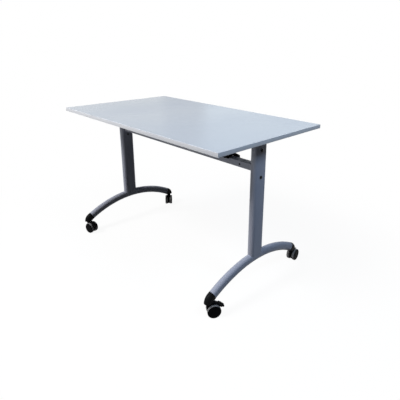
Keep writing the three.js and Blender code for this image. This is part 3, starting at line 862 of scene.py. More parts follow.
@dataclass
class TableTop:
    """The board and the four bands that edge it."""

    board_ease: float = 0.2 * MM
    band_round: float = 1.1 * MM
    round_steps: int = 3

    def build(self) -> None:
        """Models and dresses the board and its bands."""
        board = block("board_panel", *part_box("top_board"))
        dress(ease(board, self.board_ease, 1), LAMINATE, "top_board")
        for name, outward in (
            ("front", Vector((0, -1, 0))),
            ("rear", Vector((0, 1, 0))),
            ("left", Vector((-1, 0, 0))),
            ("right", Vector((1, 0, 0))),
        ):
            dress(self.band(name, outward), EDGING, f"edge_band_{name}")

    def band(self, name: str, outward: Vector) -> Piece:
        """Models one band with rounded outer edges.

        Args:
            name: The side that it is on.
            outward: The direction in which it faces.

        Returns:
            The new piece.
        """
        low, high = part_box(f"edge_band_{name}")
        piece = block(f"band_{name}", low, high)
        face = max(outward.dot(low), outward.dot(high))
        ends_free = bool(outward.y)

        def outer(place: Vector, run: Vector) -> bool:
            """Whether an edge is on the band's outer face and may be rounded."""
            return abs(outward.dot(place) - face) < NEAR and (ends_free or abs(run.z) < 0.5)

        with editing(piece, "EDGE"):
            pick_edges(piece, outer)
            bpy.ops.mesh.bevel(offset=self.band_round, segments=self.round_steps, affect="EDGES")
        return ease(piece, 0, limit=30)


@dataclass
class Legs:
    """Both T-legs: columns, arched feet and end caps, drawn about the column's own axis."""

    column: tuple[float, float] = (33 * MM, 82 * MM)
    foot: tuple[float, float] = (33 * MM, 43 * MM)
    wall: float = 2 * MM
    column_ease: float = 1.5 * MM
    foot_radius: float = 580 * MM
    foot_steps: int = 72
    cap_margin: float = 0.5 * MM
    cap_straight: float = 11 * MM
    cap_bend: float = 25.5 * MM
    cap_bottom: float = 68 * MM
    cap_seam: float = 0.4 * MM

    def __post_init__(self) -> None:
        """Works out the arch and the elbows from the frame."""
        low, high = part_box("foot_right")
        self.foot_y = (low.y + high.y) / 2 - LEG.y
        outer = self.foot_radius + self.foot[1] / 2
        self.foot_angle = math.asin((high.y - low.y) / 2 / outer)
        self.arch = Vector((0, self.foot_y, high.z - outer))

    def build(self) -> None:
        """Models and dresses both legs."""
        both_sides(self.foot_tube(), PAINT, "foot_tube", "foot")
        both_sides(self.column_tube(), PAINT, "column_tube", "column")
        ends = {"rear": Matrix.Identity(4), "front": self.about_foot()}
        places = {f"cap_elbow_{end}_{side}": on_side(side) @ turn for side in SIDES for end, turn in ends.items()}
        for name, piece in placed_copies(self.cap_elbow(), places).items():
            dress(piece, CAP_PLASTIC, name.replace("cap_elbow", "foot_cap"))

    def about_foot(self) -> Matrix:
        """The half turn about the foot's middle that takes its rear end to its front end."""
        middle_of_foot = Matrix.Translation((0, self.foot_y, 0))
        return middle_of_foot @ Matrix.Rotation(math.pi, 4, "Z") @ middle_of_foot.inverted()

    def foot_section(self, width: float, height: float) -> list[Vector]:
        """A flat-oval section, square to the arch at its rear end.

        Args:
            width: Its width across the foot.
            height: Its height.

        Returns:
            The section's points.
        """
        tilt = Matrix.Rotation(-self.foot_angle, 4, "X")
        upright = [Vector((x, 0, self.foot_radius + z)) for x, z in flat_oval(width, height)]
        return [self.arch + tilt @ point for point in upright]

    def foot_sweep(self, name: str) -> Piece:
        """The outside of the arched foot, open at its ends."""
        return swept(name, self.foot_section(*self.foot), self.arch, 2 * self.foot_angle, self.foot_steps)

    def foot_tube(self) -> Piece:
        """Models the foot's tube.

        Returns:
            The new piece.
        """
        piece = self.foot_sweep("foot_tube")
        thicken(piece, self.wall)
        return ease(piece, 0, flat=0)

    def post(self, name: str, inset: float, bottom: float) -> Piece:
        """A flat-oval post with its head rounded about the pivot.

        Args:
            name: The piece's name.
            inset: How much smaller than the column it is on every side.
            bottom: The height that it starts at.

        Returns:
            The new piece.
        """
        width, depth = (size - 2 * inset for size in self.column)
        radius = depth / 2
        piece = plate(name, flat_oval(width, depth, 20), Axis.Z, bottom, PIVOT_Z + radius)
        wide = radius + MM
        head = [(-wide, bottom - MM), (wide, bottom - MM), (wide, PIVOT_Z)]
        head += arc(0, PIVOT_Z, radius, 0, 180, 48) + [(-wide, PIVOT_Z)]
        return fitted(piece, Fit.COMMON, plate("head", head, Axis.X, -width, width))

    def column_tube(self) -> Piece:
        """Models the column: coped to the foot, with a closed round head.

        Returns:
            The new piece.
        """
        bottom = self.arch.z + self.foot_radius
        piece = self.post("column_tube", 0, bottom)
        cope = self.foot_sweep("cope")
        close_ends(cope)
        fitted(piece, Fit.CUT, self.post("hollow", self.wall, bottom - MM), cope)
        return ease(piece, self.column_ease, 3, flat=0)

    def cap_elbow(self) -> Piece:
        """Models the rear end's cap: a short straight, then an elbow that turns down to the caster.

        Returns:
            The new piece.
        """
        width, height = (size + 2 * self.cap_margin for size in self.foot)
        section = self.foot_section(width, height)
        heading = Vector((0, math.cos(self.foot_angle), -math.sin(self.foot_angle)))
        across = Vector((0, math.sin(self.foot_angle), math.cos(self.foot_angle)))
        shifted = [point + heading * (self.cap_straight + self.cap_seam) for point in section]
        end = self.arch + across * self.foot_radius
        centre = end + heading * (self.cap_straight + self.cap_seam) - across * self.cap_bend
        piece = swept("cap_elbow", shifted, centre, self.foot_angle - math.pi / 2, 20)
        with editing(piece, "EDGE"):
            plane = heading.dot(shifted[0])
            pick_edges(piece, lambda place, run: abs(heading.dot(place) - plane) < NEAR)
            bpy.ops.mesh.extrude_edges_move(TRANSFORM_OT_translate={"value": -heading * self.cap_straight})
        close_ends(piece)
        with editing(piece):
            bpy.ops.mesh.select_all(action="SELECT")
            bpy.ops.mesh.bisect(
                plane_co=(0, 0, self.cap_bottom), plane_no=(0, 0, 1), use_fill=True, clear_inner=True
            )
        face_out(piece)
        return ease(piece, 1.2 * MM, 3, limit=50, flat=0)


@dataclass(frozen=True)
class Screw:
    """A pan-head screw with a cross recess, drawn with its seat at the origin and its head towards -Z."""

    head: float
    height: float
    shank: float
    length: float
    recess: float = 0.3

    def model(self, name: str) -> Piece:
        """Models the screw.

        Args:
            name: The piece's name.

        Returns:
            The new piece.
        """
        rim = 0.3 * self.height
        dome = [
            (-rim - (self.height - rim) * math.sin(t), self.head * (0.5 + 0.5 * math.cos(t)))
            for t in (math.pi / 2 * k / 6 for k in range(7))
        ]
        tip = [(self.length, 0), (self.length, 0.7 * self.shank), (self.length - 0.4 * self.shank, self.shank)]
        piece = turned(name, tip + [(0, self.shank), (0, self.head)] + dome + [(-self.height, 0)], Axis.Z, (0, 0, 0), 32)
        narrow, wide = 0.5 * self.recess * self.head, 0.55 * self.head
        deep = (-self.height - MM, -0.35 * self.height)
        cross = block("recess", (-wide, -narrow, deep[0]), (wide, narrow, deep[1]))
        fitted(cross, Fit.JOIN, block("recess_arm", (-narrow, -wide, deep[0]), (narrow, wide, deep[1])))
        return ease(fitted(piece, Fit.CUT, cross), 0, limit=35)


@dataclass(frozen=True)
class ButtonBolt:
    """A bolt along X with a domed head and a hexagon socket, drawn about the right-hand column's axis."""

    z: float
    end: float
    face: float = 16.7 * MM
    radius: float = 4 * MM
    head: float = 7.5 * MM
    height: float = 4.5 * MM
    socket: float = 2.7 * MM
    socket_depth: float = 2.6 * MM
    chamfer: float = 0.7 * MM

    def model(self, name: str) -> Piece:
        """Models the bolt.

        Args:
            name: The piece's name.

        Returns:
            The new piece.
        """
        crown = self.face + self.height
        rim = self.face + 0.25 * self.height
        dome = [
            (rim + (crown - rim) * math.sin(t), self.head * (0.55 + 0.45 * math.cos(t)))
            for t in (math.pi / 2 * k / 8 for k in range(9))
        ]
        tip = [(self.end, 0), (self.end, self.radius - self.chamfer), (self.end + self.chamfer, self.radius)]
        profile = tip + [(self.face, self.radius), (self.face, self.head)] + dome + [(crown, 0)]
        piece = turned(name, profile, Axis.X, (0, 0, self.z))
        key = rod("key", Axis.X, (crown, 0, self.z), self.socket, self.socket_depth, 6)
        return ease(fitted(piece, Fit.CUT, key), 0.15 * MM, 1, limit=35)


@dataclass
class Hinges:
    """What joins the top to the columns: brackets, bushes, bolts, nuts, strike pins and screws."""

    plate_x: tuple[float, float] = (-60 * MM, 30 * MM)
    plate_half_y: float = 70 * MM
    plate: float = 3 * MM
    plate_gap: float = 0.2 * MM
    plate_corner: float = 9 * MM
    cheek: tuple[float, float] = (-25.8 * MM, -21.8 * MM)
    cheek_eye: float = 18 * MM
    cheek_shoulder: float = 28 * MM
    eye_bore: float = 7.4 * MM
    ear_x: tuple[float, float] = (-35.5 * MM, -31.5 * MM)
    ear_y: tuple[float, float] = (22 * MM, 58 * MM)
    ear_eye: float = 10 * MM
    pin_radius: float = 4 * MM
    pin_x: tuple[float, float] = (-38 * MM, -17.1 * MM)
    pin_head: tuple[float, float] = (6 * MM, 2.3 * MM)
    screw_x: tuple[float, float] = (-48 * MM, 20 * MM)
    screw_y: float = 58 * MM
    nut_x: tuple[float, float] = (-33.8 * MM, -26.8 * MM)
    nut_radius: float = 7.5 * MM
    bolt_end: float = -35.6 * MM
    bolt_bore: float = 4.2 * MM
    bush_x: tuple[float, float] = (-26.5 * MM, -21.1 * MM)
    bush_radius: float = 7 * MM

    def build(self) -> None:
        """Models and dresses the hinges of both legs."""
        both_sides(self.bracket(), BLACK_STEEL, "hinge_plate", "hinge_bracket")
        both_sides(self.strike_pin(), ZINC, "strike_stud", "strike_pin")
        both_sides(ButtonBolt(PIVOT_Z, self.bolt_end).model("pivot"), BLACK_STEEL, "pivot_stud", "pivot_bolt")
        both_sides(self.nut(), ZINC, "lock_nut", "pivot_nut")
        both_sides(self.bush(), NYLON, "pivot_sleeve", "pivot_bush")
        self.screws()

    def bracket(self) -> Piece:
        """Models the bracket: a plate under the top, a cheek on the pivot and an ear for the strike pin.

        Returns:
            The new piece.
        """
        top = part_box("hinge_bracket_right")[1].z
        under = top - self.plate
        (left, right), half = self.plate_x, self.plate_half_y
        corner = self.plate_corner
        outline = [(left, -half, corner), (right, -half, corner), (right, half, corner), (left, half, corner)]
        piece = plate("hinge_plate", rounded(outline), Axis.Z, under, top)
        inside = top - 0.5 * self.plate
        shoulder = self.cheek_shoulder
        cheek = arc(0, PIVOT_Z, self.cheek_eye, 180, 360, 24) + [(shoulder, inside), (-shoulder, inside)]
        ear = arc(*PIN, self.ear_eye, 180, 360, 16) + [(self.ear_y[1], inside), (self.ear_y[0], inside)]
        fitted(
            piece,
            Fit.JOIN,
            plate("cheek", cheek, Axis.X, *self.cheek),
            plate("ear", ear, Axis.X, *self.ear_x),
        )
        holes = [rod("eye", Axis.X, (self.cheek[0], 0, PIVOT_Z), self.eye_bore, 6 * MM)]
        holes.append(rod("pin_hole", Axis.X, (self.ear_x[0], *PIN), self.pin_radius + 0.2 * MM, 6 * MM))
        fitted(piece, Fit.CUT, *holes)
        return ease(piece, 0.5 * MM, 2)

    def strike_pin(self) -> Piece:
        """Models the pin that the latch hook holds down.

        Returns:
            The new piece.
        """
        start, end = self.pin_x
        head, height = self.pin_head
        soft = 0.5 * MM
        profile = [(start, 0), (start, head - soft), (start + soft, head), (start + height - soft, head)]
        profile += [(start + height, head - soft), (start + height, self.pin_radius), (end - soft, self.pin_radius)]
        profile += [(end, self.pin_radius - soft), (end, 0)]
        return ease(turned("strike_stud", profile, Axis.X, (0, *PIN)), 0, limit=30)

    def nut(self) -> Piece:
        """Models the lock nut, its corners turned off and a collar at its end.

        Returns:
            The new piece.
        """
        start, end = self.nut_x
        wide = self.nut_radius
        collar = start + 1.8 * MM
        piece = rod("lock_nut", Axis.X, ((collar + end) / 2, 0, PIVOT_Z), wide, (end - collar) / 2, 6)
        turn = [(collar - MM, 0), (collar - MM, 0.8 * wide), (collar, 0.86 * wide), (collar + 0.9 * MM, wide)]
        turn += [(end - 0.9 * MM, wide), (end, 0.86 * wide), (end + MM, 0.8 * wide), (end + MM, 0)]
        fitted(piece, Fit.COMMON, turned("chamfer", turn, Axis.X, (0, 0, PIVOT_Z)))
        dome = [(collar + MM, 0), (collar + MM, 0.8 * wide), (collar, 0.8 * wide), (start + 0.6 * MM, 0.72 * wide)]
        dome += [(start, 0.6 * wide), (start, 0)]
        fitted(piece, Fit.JOIN, turned("collar", dome, Axis.X, (0, 0, PIVOT_Z)))
        fitted(piece, Fit.CUT, rod("bore", Axis.X, (start, 0, PIVOT_Z), self.bolt_bore, 20 * MM))
        return ease(piece, 0.15 * MM, 1, limit=25)

    def bush(self) -> Piece:
        """Models the sleeve that the cheek turns on.

        Returns:
            The new piece.
        """
        (start, end), wide, bore, soft = self.bush_x, self.bush_radius, self.bolt_bore, 0.6 * MM
        ring = [(start, bore), (start, wide - soft), (start + soft, wide), (end - soft, wide)]
        ring += [(end, wide - soft), (end, bore), (start, bore)]
        return ease(turned("pivot_sleeve", ring, Axis.X, (0, 0, PIVOT_Z)), 0, limit=30)

    def screws(self) -> None:
        """Models one screw and puts four under each bracket."""
        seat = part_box("hinge_bracket_right")[1].z - self.plate
        spots = [(x, y) for x in self.screw_x for y in (-self.screw_y, self.screw_y)]
        places = {
            f"bracket_screw_{number}_{side}": on_side(side) @ Matrix.Translation((x, y, seat))
            for side in SIDES
            for number, (x, y) in enumerate(spots, 1)
        }
        screw = Screw(4.6 * MM, 2.4 * MM, 2.1 * MM, 12 * MM).model("bracket_screw")
        for piece in placed_copies(screw, places).values():
            dress(piece, ZINC, body="top")


@dataclass
class Beam:
    """The cross beam, the brackets and bolts that hold it, and the bearings of the release rod."""

    corner: float = 3 * MM
    wall: float = 2 * MM
    plate_x: tuple[float, float] = (-20.8 * MM, -16.8 * MM)
    plate_half: float = 22 * MM
    plate_bottom: float = 536 * MM
    cradle: tuple[float, float] = (37 * MM, 53 * MM)
    cradle_z: tuple[float, float, float] = (614 * MM, 652 * MM, 680 * MM)
    crotch: tuple[float, float] = (34 * MM, 662 * MM)
    spigot: float = 95 * MM
    spigot_fit: float = 0.25 * MM
    bolt_z: float = 556 * MM
    bolt_past: float = 3 * MM
    screw_x: float = -90 * MM
    pin_bore: float = 4.3 * MM
    rod_bore: float = 6.2 * MM
    bearing_reach: float = 13 * MM

    def __post_init__(self) -> None:
        """Takes the beam's box from the frame, about the column's own axis."""
        low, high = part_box("cross_beam")
        self.end = high.x
        self.half_y = (high.y - low.y) / 2
        self.half_z = (high.z - low.z) / 2
        self.z = (low.z + high.z) / 2

    def section(self, shrink: float = 0, y: float = 0) -> Outline:
        """A rounded section like the beam's.

        Args:
            shrink: How much smaller it is than the beam on every side.
            y: Where its middle lies across the beam.

        Returns:
            The section's outline, in (y, z).
        """
        half_y, half_z, corner = self.half_y - shrink, self.half_z - shrink, self.corner - shrink / 2
        corners = [(-1, -1), (1, -1), (1, 1), (-1, 1)]
        return rounded([(y + u * half_y, self.z + v * half_z, corner) for u, v in corners])

    def build(self) -> None:
        """Models and dresses the beam and what holds it."""
        piece = tube("beam_tube", self.section(y=LEG.y), Axis.X, -self.end, self.end, self.wall)
        dress(ease(piece, 0, flat=0), PAINT, "cross_beam")
        both_sides(self.bracket(), PAINT, "beam_plate", "beam_bracket")
        frame_bolt = ButtonBolt(self.bolt_z, self.plate_x[0] - self.bolt_past)
        both_sides(frame_bolt.model("frame_stud"), BLACK_STEEL, "frame_stud", "frame_bolt")
        screw = Screw(4.5 * MM, 2.2 * MM, 2.5 * MM, 8 * MM).model("beam_screw_pan")
        low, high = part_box("beam_screw_right")
        seat = low.y + 2.2 * MM - LEG.y
        screw.data.transform(Matrix.Translation((self.screw_x, seat, self.z)) @ Matrix.Rotation(-math.pi / 2, 4, "X"))
        both_sides(screw, BLACK_STEEL, "beam_pan_screw", "beam_screw")
        self.bearings()

    def bracket(self) -> Piece:
        """Models the bracket: a plate on the column with a cradle for the strike pin, and a spigot in the beam.

        Returns:
            The new piece.
        """
        half, (root, heel, lip) = self.plate_half, self.cradle_z
        back, front = self.cradle[1], self.cradle[0]
        corners = [(-half, self.plate_bottom, 5 * MM), (half, self.plate_bottom, 5 * MM), (half, root, 8 * MM)]
        corners += [(back, heel, 8 * MM), (back, lip, 3 * MM), (front, lip, 2 * MM)]
        corners += [(*self.crotch, 3 * MM), (half, self.crotch[1], 3 * MM)]
        corners += [(y, z, 0) for y, z in arc(0, PIVOT_Z, half, 0, 180, 24)]
        piece = plate("beam_plate", rounded(corners), Axis.X, *self.plate_x)
        shrink = self.wall + self.spigot_fit
        reach = (self.plate_x[0] - self.spigot, self.plate_x[0] + MM)
        fitted(piece, Fit.JOIN, tube("spigot", self.section(shrink), Axis.X, *reach, self.wall))
        middle_x = sum(self.plate_x) / 2
        fitted(piece, Fit.CUT, rod("cradle", Axis.X, (middle_x, *PIN), self.pin_bore, 5 * MM))
        return ease(piece, 0.5 * MM, 2)

    def bearings(self) -> None:
        """Models one bearing block of the release rod and puts both behind the beam."""
        low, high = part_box("rod_bearing_right")
        back, (y, z), reach = low.y - LEG.y, ROD, self.bearing_reach
        outline = rounded(
            [(back, z - reach, 1.5 * MM)]
            + [(u, v, 0) for u, v in arc(y, z, reach, -90, 90, 24)]
            + [(back, z + reach, 1.5 * MM)]
        )
        piece = plate("rod_block", outline, Axis.X, low.x - LEG.x, high.x - LEG.x)
        fitted(piece, Fit.CUT, rod("rod_hole", Axis.X, (middle("rod_bearing_right").x - LEG.x, y, z), self.rod_bore, 20 * MM))
        both_sides(ease(piece, 0.8 * MM, 2), PLASTIC, "rod_block", "rod_bearing")


@dataclass
class ReleaseBar:
    """The bar behind the beam that lets the top go: rod, hooks, lever and return spring."""

    rod_radius: float = 6 * MM
    hook_x: tuple[float, float] = (-28.5 * MM, -23.5 * MM)
    hook_boss: float = 13 * MM
    drawn_back: float = 7.0
    lever_x: tuple[float, float] = (275 * MM, 375 * MM)
    lever_hub: float = 12 * MM
    lever_top: float = 634 * MM
    lever_under: float = 618 * MM
    lever_cheek: float = 22 * MM
    lever_web: float = 4 * MM
    slope_head: float = 2 * MM
    slope_foot: float = 609 * MM
    lip_front: float = -38 * MM
    lip_back: float = -25 * MM
    lip_low: float = 610 * MM
    coils: int = 7
    pitch: float = 2.4 * MM
    coil_radius: float = 8.6 * MM
    wire: float = 0.75 * MM
    coil_steps: int = 24
    spring_from: float = 254.2 * MM

    def build(self) -> None:
        """Models and dresses the release bar."""
        low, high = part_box("release_rod")
        soft = 0.8 * MM
        thick = self.rod_radius
        profile = [(low.x, 0), (low.x, thick - soft), (low.x + soft, thick)]
        profile += [(high.x - soft, thick), (high.x, thick - soft), (high.x, 0)]
        bar = turned("release_bar_rod", profile, Axis.X, (0, ROD[0] + LEG.y, ROD[1]))
        dress(ease(bar, 0, limit=30), BLACK_STEEL, "release_rod")
        both_sides(self.hook(), ZINC, "hook_plate", "latch_hook")
        dress(self.lever(), PLASTIC, "release_lever")
        dress(self.spring(), ZINC, "return_spring")

    def hook(self) -> Piece:
        """Models a latch hook over its pin, then draws it back about the rod.

        Returns:
            The new piece.
        """
        y, z = ROD
        shape = [(20, -12, 5), (20, 10.6, 6), (14, 14.6, 5), (-2, 12.6, 3), (-4, 4.6, 1.5), (4.6, 4.6, 1.5)]
        shape.append((5.6, -14, 8))
        corners = [(u, v, 0) for u, v in arc(y, z, self.hook_boss, 180, 360, 24)]
        corners += [(PIN[0] + u * MM, PIN[1] + v * MM, r * MM) for u, v, r in shape]
        piece = plate("hook_plate", rounded(corners), Axis.X, *self.hook_x)
        fitted(piece, Fit.CUT, rod("bore", Axis.X, (sum(self.hook_x) / 2, y, z), self.rod_radius + 0.15 * MM, 8 * MM))
        about_rod = Matrix.Translation((0, y, z))
        back = Matrix.Rotation(-math.radians(self.drawn_back), 4, "X")
        piece.data.transform(about_rod @ back @ about_rod.inverted())
        return ease(piece, 0.5 * MM, 2)

    def lever(self) -> Piece:
        """Models the lever: a hub on the rod, a sloped arm over the beam and a finger lip in front of it.

        Returns:
            The new piece.
        """
        y, z = ROD
        hub, (low, high) = self.lever_hub, self.lever_x
        corners = [(u, v, 0) for u, v in arc(y, z, hub, 180, 360, 24)]
        corners += [(y + hub, self.slope_foot, 8 * MM), (self.slope_head, self.lever_top, 14 * MM)]
        corners += [(self.lip_front, self.lever_top, 9 * MM), (self.lip_front, self.lip_low, 4 * MM)]
        corners += [(self.lip_back, self.lip_low, 2 * MM), (self.lip_back + 2 * MM, self.lever_under, 2 * MM)]
        corners.append((y - hub, self.lever_under, 6 * MM))
        piece = plate("lever_paddle", rounded(corners), Axis.X, low, high)
        cheek, web = self.lever_cheek, self.lever_under - self.lever_web
        room = block("room", (low + cheek, y - 2 * hub, z - 2 * hub), (high - cheek, y + 2 * hub, web))
        bore = rod("bore", Axis.X, ((low + high) / 2, y, z), self.rod_radius + 0.15 * MM, high - low)
        fitted(piece, Fit.CUT, room, bore)
        piece.data.transform(Matrix.Translation((0, LEG.y, 0)))
        return ease(piece, 1.4 * MM, 3)

    def spring(self) -> Piece:
        """Models the return spring: a round wire wound about the rod.

        Returns:
            The new piece.
        """
        wire = [Vector((x, self.coil_radius + r, 0)) for r, x in arc(0, 0, self.wire, 0, 330, 11)]
        piece = drawn("spring_coil", wire, closed=True)
        coil = piece.modifiers.new("coil", "SCREW")
        coil.axis = "X"
        coil.screw_offset = self.pitch
        coil.iterations = self.coils
        coil.steps = coil.render_steps = self.coil_steps
        apply(piece, coil)
        piece.data.transform(Matrix.Translation((self.spring_from, LEG.y + ROD[0], ROD[1])))
        close_ends(piece)
        return ease(piece, 0, flat=0)


@dataclass
class Casters:
    """The four twin-wheel casters, drawn with the stem on the Z axis and the wheels trailing towards +X."""

    trail: float = 21 * MM
    wheel: float = 30 * MM
    web_half: float = 7 * MM
    web_radius: float = 27 * MM
    web_toe: tuple[float, float] = (-9.4 * MM, 40 * MM)
    fender: tuple[float, float] = (32 * MM, 34.5 * MM)
    fender_half: float = 11 * MM
    fender_arc: tuple[float, float] = (54, 132)
    neck: float = 12 * MM
    neck_z: tuple[float, float] = (60 * MM, 66 * MM)
    ear: tuple[float, float] = (25 * MM, 37.5 * MM)
    ear_arc: tuple[float, float] = (39, 58)
    stem: float = 4.5 * MM
    stem_z: tuple[float, float] = (44 * MM, 95 * MM)
    collar: float = 8.5 * MM
    collar_z: tuple[float, float] = (66.3 * MM, 67.8 * MM)
    axle: float = 4 * MM
    axle_half: float = 18 * MM
    pedal_radius: float = 34 * MM
    pedal_angle: float = 46.0
    pedal_raised: float = 18.0
    pedal_half: float = 15 * MM
    pedal_hub: float = 3.5 * MM
    pedal_pin: float = 1.5 * MM
    tab_half: float = 11 * MM
    tab_from: float = 12 * MM
    tab_end: float = 24.5 * MM
    slot_half: float = 7.5 * MM
    slot_reach: float = 9 * MM

    def around(self, radius: float, angle: float) -> tuple[float, float]:
        """The place, in (x, z), at a radius and an angle about the axle."""
        turn = math.radians(angle)
        return self.trail + radius * math.cos(turn), self.wheel + radius * math.sin(turn)

    def place(self, corner: str) -> Matrix:
        """The matrix that puts a caster on its corner, turned as it stands there."""
        stem, axle = joint_place(f"swivel_{corner}"), joint_place(f"spin_a_{corner}")
        heading = math.atan2(axle.y - stem.y, axle.x - stem.x)
        return Matrix.Translation((stem.x, stem.y, 0)) @ Matrix.Rotation(heading, 4, "Z")

    def build(self) -> None:
        """Models each piece of a caster once, and puts it on its corners."""
        free = [corner for corner in CORNERS if corner not in BRAKED]
        self.put(self.hood(False), PLASTIC, "hood_shell", "caster_hood", free)
        self.put(self.hood(True), PLASTIC, "hood_shell", "caster_hood", BRAKED)
        self.put(self.stem_pin(), ZINC, "stem_pin", "caster_stem", CORNERS)
        self.put(self.axle_pin(), ZINC, "axle_pin", "caster_axle", CORNERS)
        self.put(self.pedal(), PLASTIC, "pedal_flap", "brake_pedal", BRAKED)
        self.wheels()

    def put(self, pattern: Piece, finish: Finish, label: str, node: str, corners: Sequence[str]) -> None:
        """Copies a piece to its corners and dresses the copies.

        Args:
            pattern: The piece, drawn about the stem.
            finish: Its finish.
            label: The copies' name, without the corner.
            node: The name of the CAD nodes that they stand for, without the corner.
            corners: The corners that have one.
        """
        copies = placed_copies(pattern, {f"{label}_{corner}": self.place(corner) for corner in corners})
        for corner, piece in zip(corners, copies.values()):
            dress(piece, finish, f"{node}_{corner}")

    def slice_of_ring(self, name: str, radii: tuple[float, float], span: tuple[float, float], half: float) -> Piece:
        """A slice of a ring about the axle.

        Args:
            name: The piece's name.
            radii: Its inner and outer radius.
            span: The angles where it starts and ends, in degrees.
            half: Half of its width.

        Returns:
            The new piece.
        """
        (inner, outer), (start, end) = radii, span
        axle = (self.trail, self.wheel)
        outline = arc(*axle, outer, start, end, 24) + arc(*axle, inner, end, start, 24)
        return plate(name, outline, Axis.Y, -half, half)

    def hood(self, brake: bool) -> Piece:
        """Models the hood: a web between the wheels, a narrow fender and a neck; with a brake, also an ear.

        Args:
            brake: Whether it carries a brake pedal.

        Returns:
            The new piece.
        """
        half, (toe_x, toe_z), (neck_from, neck_to) = self.web_half, self.web_toe, self.neck_z
        web = [(toe_x, toe_z)] + arc(self.trail, self.wheel, self.web_radius, 180, 406, 48)
        web += [self.around(self.fender[1] - MM, self.fender_arc[0] + 2), (self.neck, neck_to - 2 * MM)]
        web.append((toe_x, neck_to - 2 * MM))
        piece = plate("hood_shell", web, Axis.Y, -half, half)
        soft = 1.4 * MM
        neck = [(neck_from, 0), (neck_from, self.neck - soft), (neck_from + soft, self.neck)]
        neck += [(neck_to - soft, self.neck), (neck_to, self.neck - soft), (neck_to, 0)]
        fitted(
            piece,
            Fit.JOIN,
            self.slice_of_ring("fender", self.fender, self.fender_arc, self.fender_half),
            turned("neck", neck, Axis.Z, (0, 0, 0)),
        )
        if brake:
            x, z = self.around(self.pedal_radius, self.pedal_angle)
            fitted(piece, Fit.JOIN, self.slice_of_ring("ear", self.ear, self.ear_arc, half))
            rooms = [
                rod("hub_room", Axis.Y, (x, side * (half + 10 * MM), z), self.pedal_hub + 1.5 * MM, 10 * MM)
                for side in (-1, 1)
            ]
            fitted(piece, Fit.CUT, *rooms, rod("pin_hole", Axis.Y, (x, 0, z), self.pedal_pin + 0.2 * MM, 20 * MM))
        return ease(piece, 0.7 * MM, 2, limit=45)

    def stem_pin(self) -> Piece:
        """Models the stem, with the collar that the hood turns under.

        Returns:
            The new piece.
        """
        (foot, head), (under, over) = self.stem_z, self.collar_z
        soft = 0.4 * MM
        profile = [(foot, 0), (foot, self.stem - soft), (foot + soft, self.stem), (under, self.stem)]
        profile += [(under, self.collar - soft), (under + soft, self.collar), (over - soft, self.collar)]
        profile += [(over, self.collar - soft), (over, self.stem), (head - soft, self.stem), (head, self.stem - soft)]
        return ease(turned("stem_pin", profile + [(head, 0)], Axis.Z, (0, 0, 0)), 0, limit=30)

    def axle_pin(self) -> Piece:
        """Models the axle with chamfered ends.

        Returns:
            The new piece.
        """
        half, thick, soft = self.axle_half, self.axle, 0.6 * MM
        profile = [(-half, 0), (-half, thick - soft), (soft - half, thick), (half - soft, thick)]
        profile += [(half, thick - soft), (half, 0)]
        return ease(turned("axle_pin", profile, Axis.Y, (self.trail, 0, self.wheel)), 0, limit=30)

    def pedal(self) -> Piece:
        """Models the brake pedal: hubs astride the ear, a flap over the treads and a ribbed toe tab.

        Returns:
            The new piece.
        """
        wide, tab, start, end = self.pedal_half, self.tab_half, self.tab_from, self.tab_end
        side = [(0, -2.5, 0), (22, -3.2, 2), (24.5, -1, 1.5), (24.5, 1.5, 1.5), (2, 3, 1)]
        piece = plate("pedal_flap", rounded([(u * MM, v * MM, r * MM) for u, v, r in side]), Axis.Y, -wide, wide)
        shoe = [(4.6 * MM, -3.7 * MM), (9.4 * MM, -3.5 * MM), (10 * MM, 0), (3.6 * MM, 0)]
        hub = rod("hub", Axis.Y, (0, 0, 0), self.pedal_hub, wide)
        fitted(piece, Fit.JOIN, plate("shoe", shoe, Axis.Y, -wide, wide), hub)
        back = -2 * self.pedal_hub
        plan = [(back, -wide, 0), (start, -wide, 3 * MM), (start + 2 * MM, -tab, 1 * MM), (end, -tab, 6 * MM)]
        plan += [(end, tab, 6 * MM), (start + 2 * MM, tab, 1 * MM), (start, wide, 3 * MM), (back, wide, 0)]
        fitted(piece, Fit.COMMON, plate("plan", rounded(plan), Axis.Z, -20 * MM, 20 * MM))
        slot = block("slot", (back, -self.slot_half, -20 * MM), (self.slot_reach, self.slot_half, 20 * MM))
        fitted(piece, Fit.CUT, slot)
        ribs = [
            rod("rib", Axis.Y, (x * MM, 0, 2.9 * MM - x * 0.06 * MM), 0.8 * MM, 0.7 * tab, 12)
            for x in (14.5, 17.5, 20.5)
        ]
        pin = rod("pin", Axis.Y, (0, 0, 0), self.pedal_pin, self.slot_half + MM, 24)
        fitted(piece, Fit.JOIN, *ribs, pin)
        x, z = self.around(self.pedal_radius, self.pedal_angle)
        tilt = Matrix.Rotation(math.radians(90 - self.pedal_angle - self.pedal_raised), 4, "Y")
        piece.data.transform(Matrix.Translation((x, 0, z)) @ tilt)
        return ease(piece, 0.5 * MM, 2)

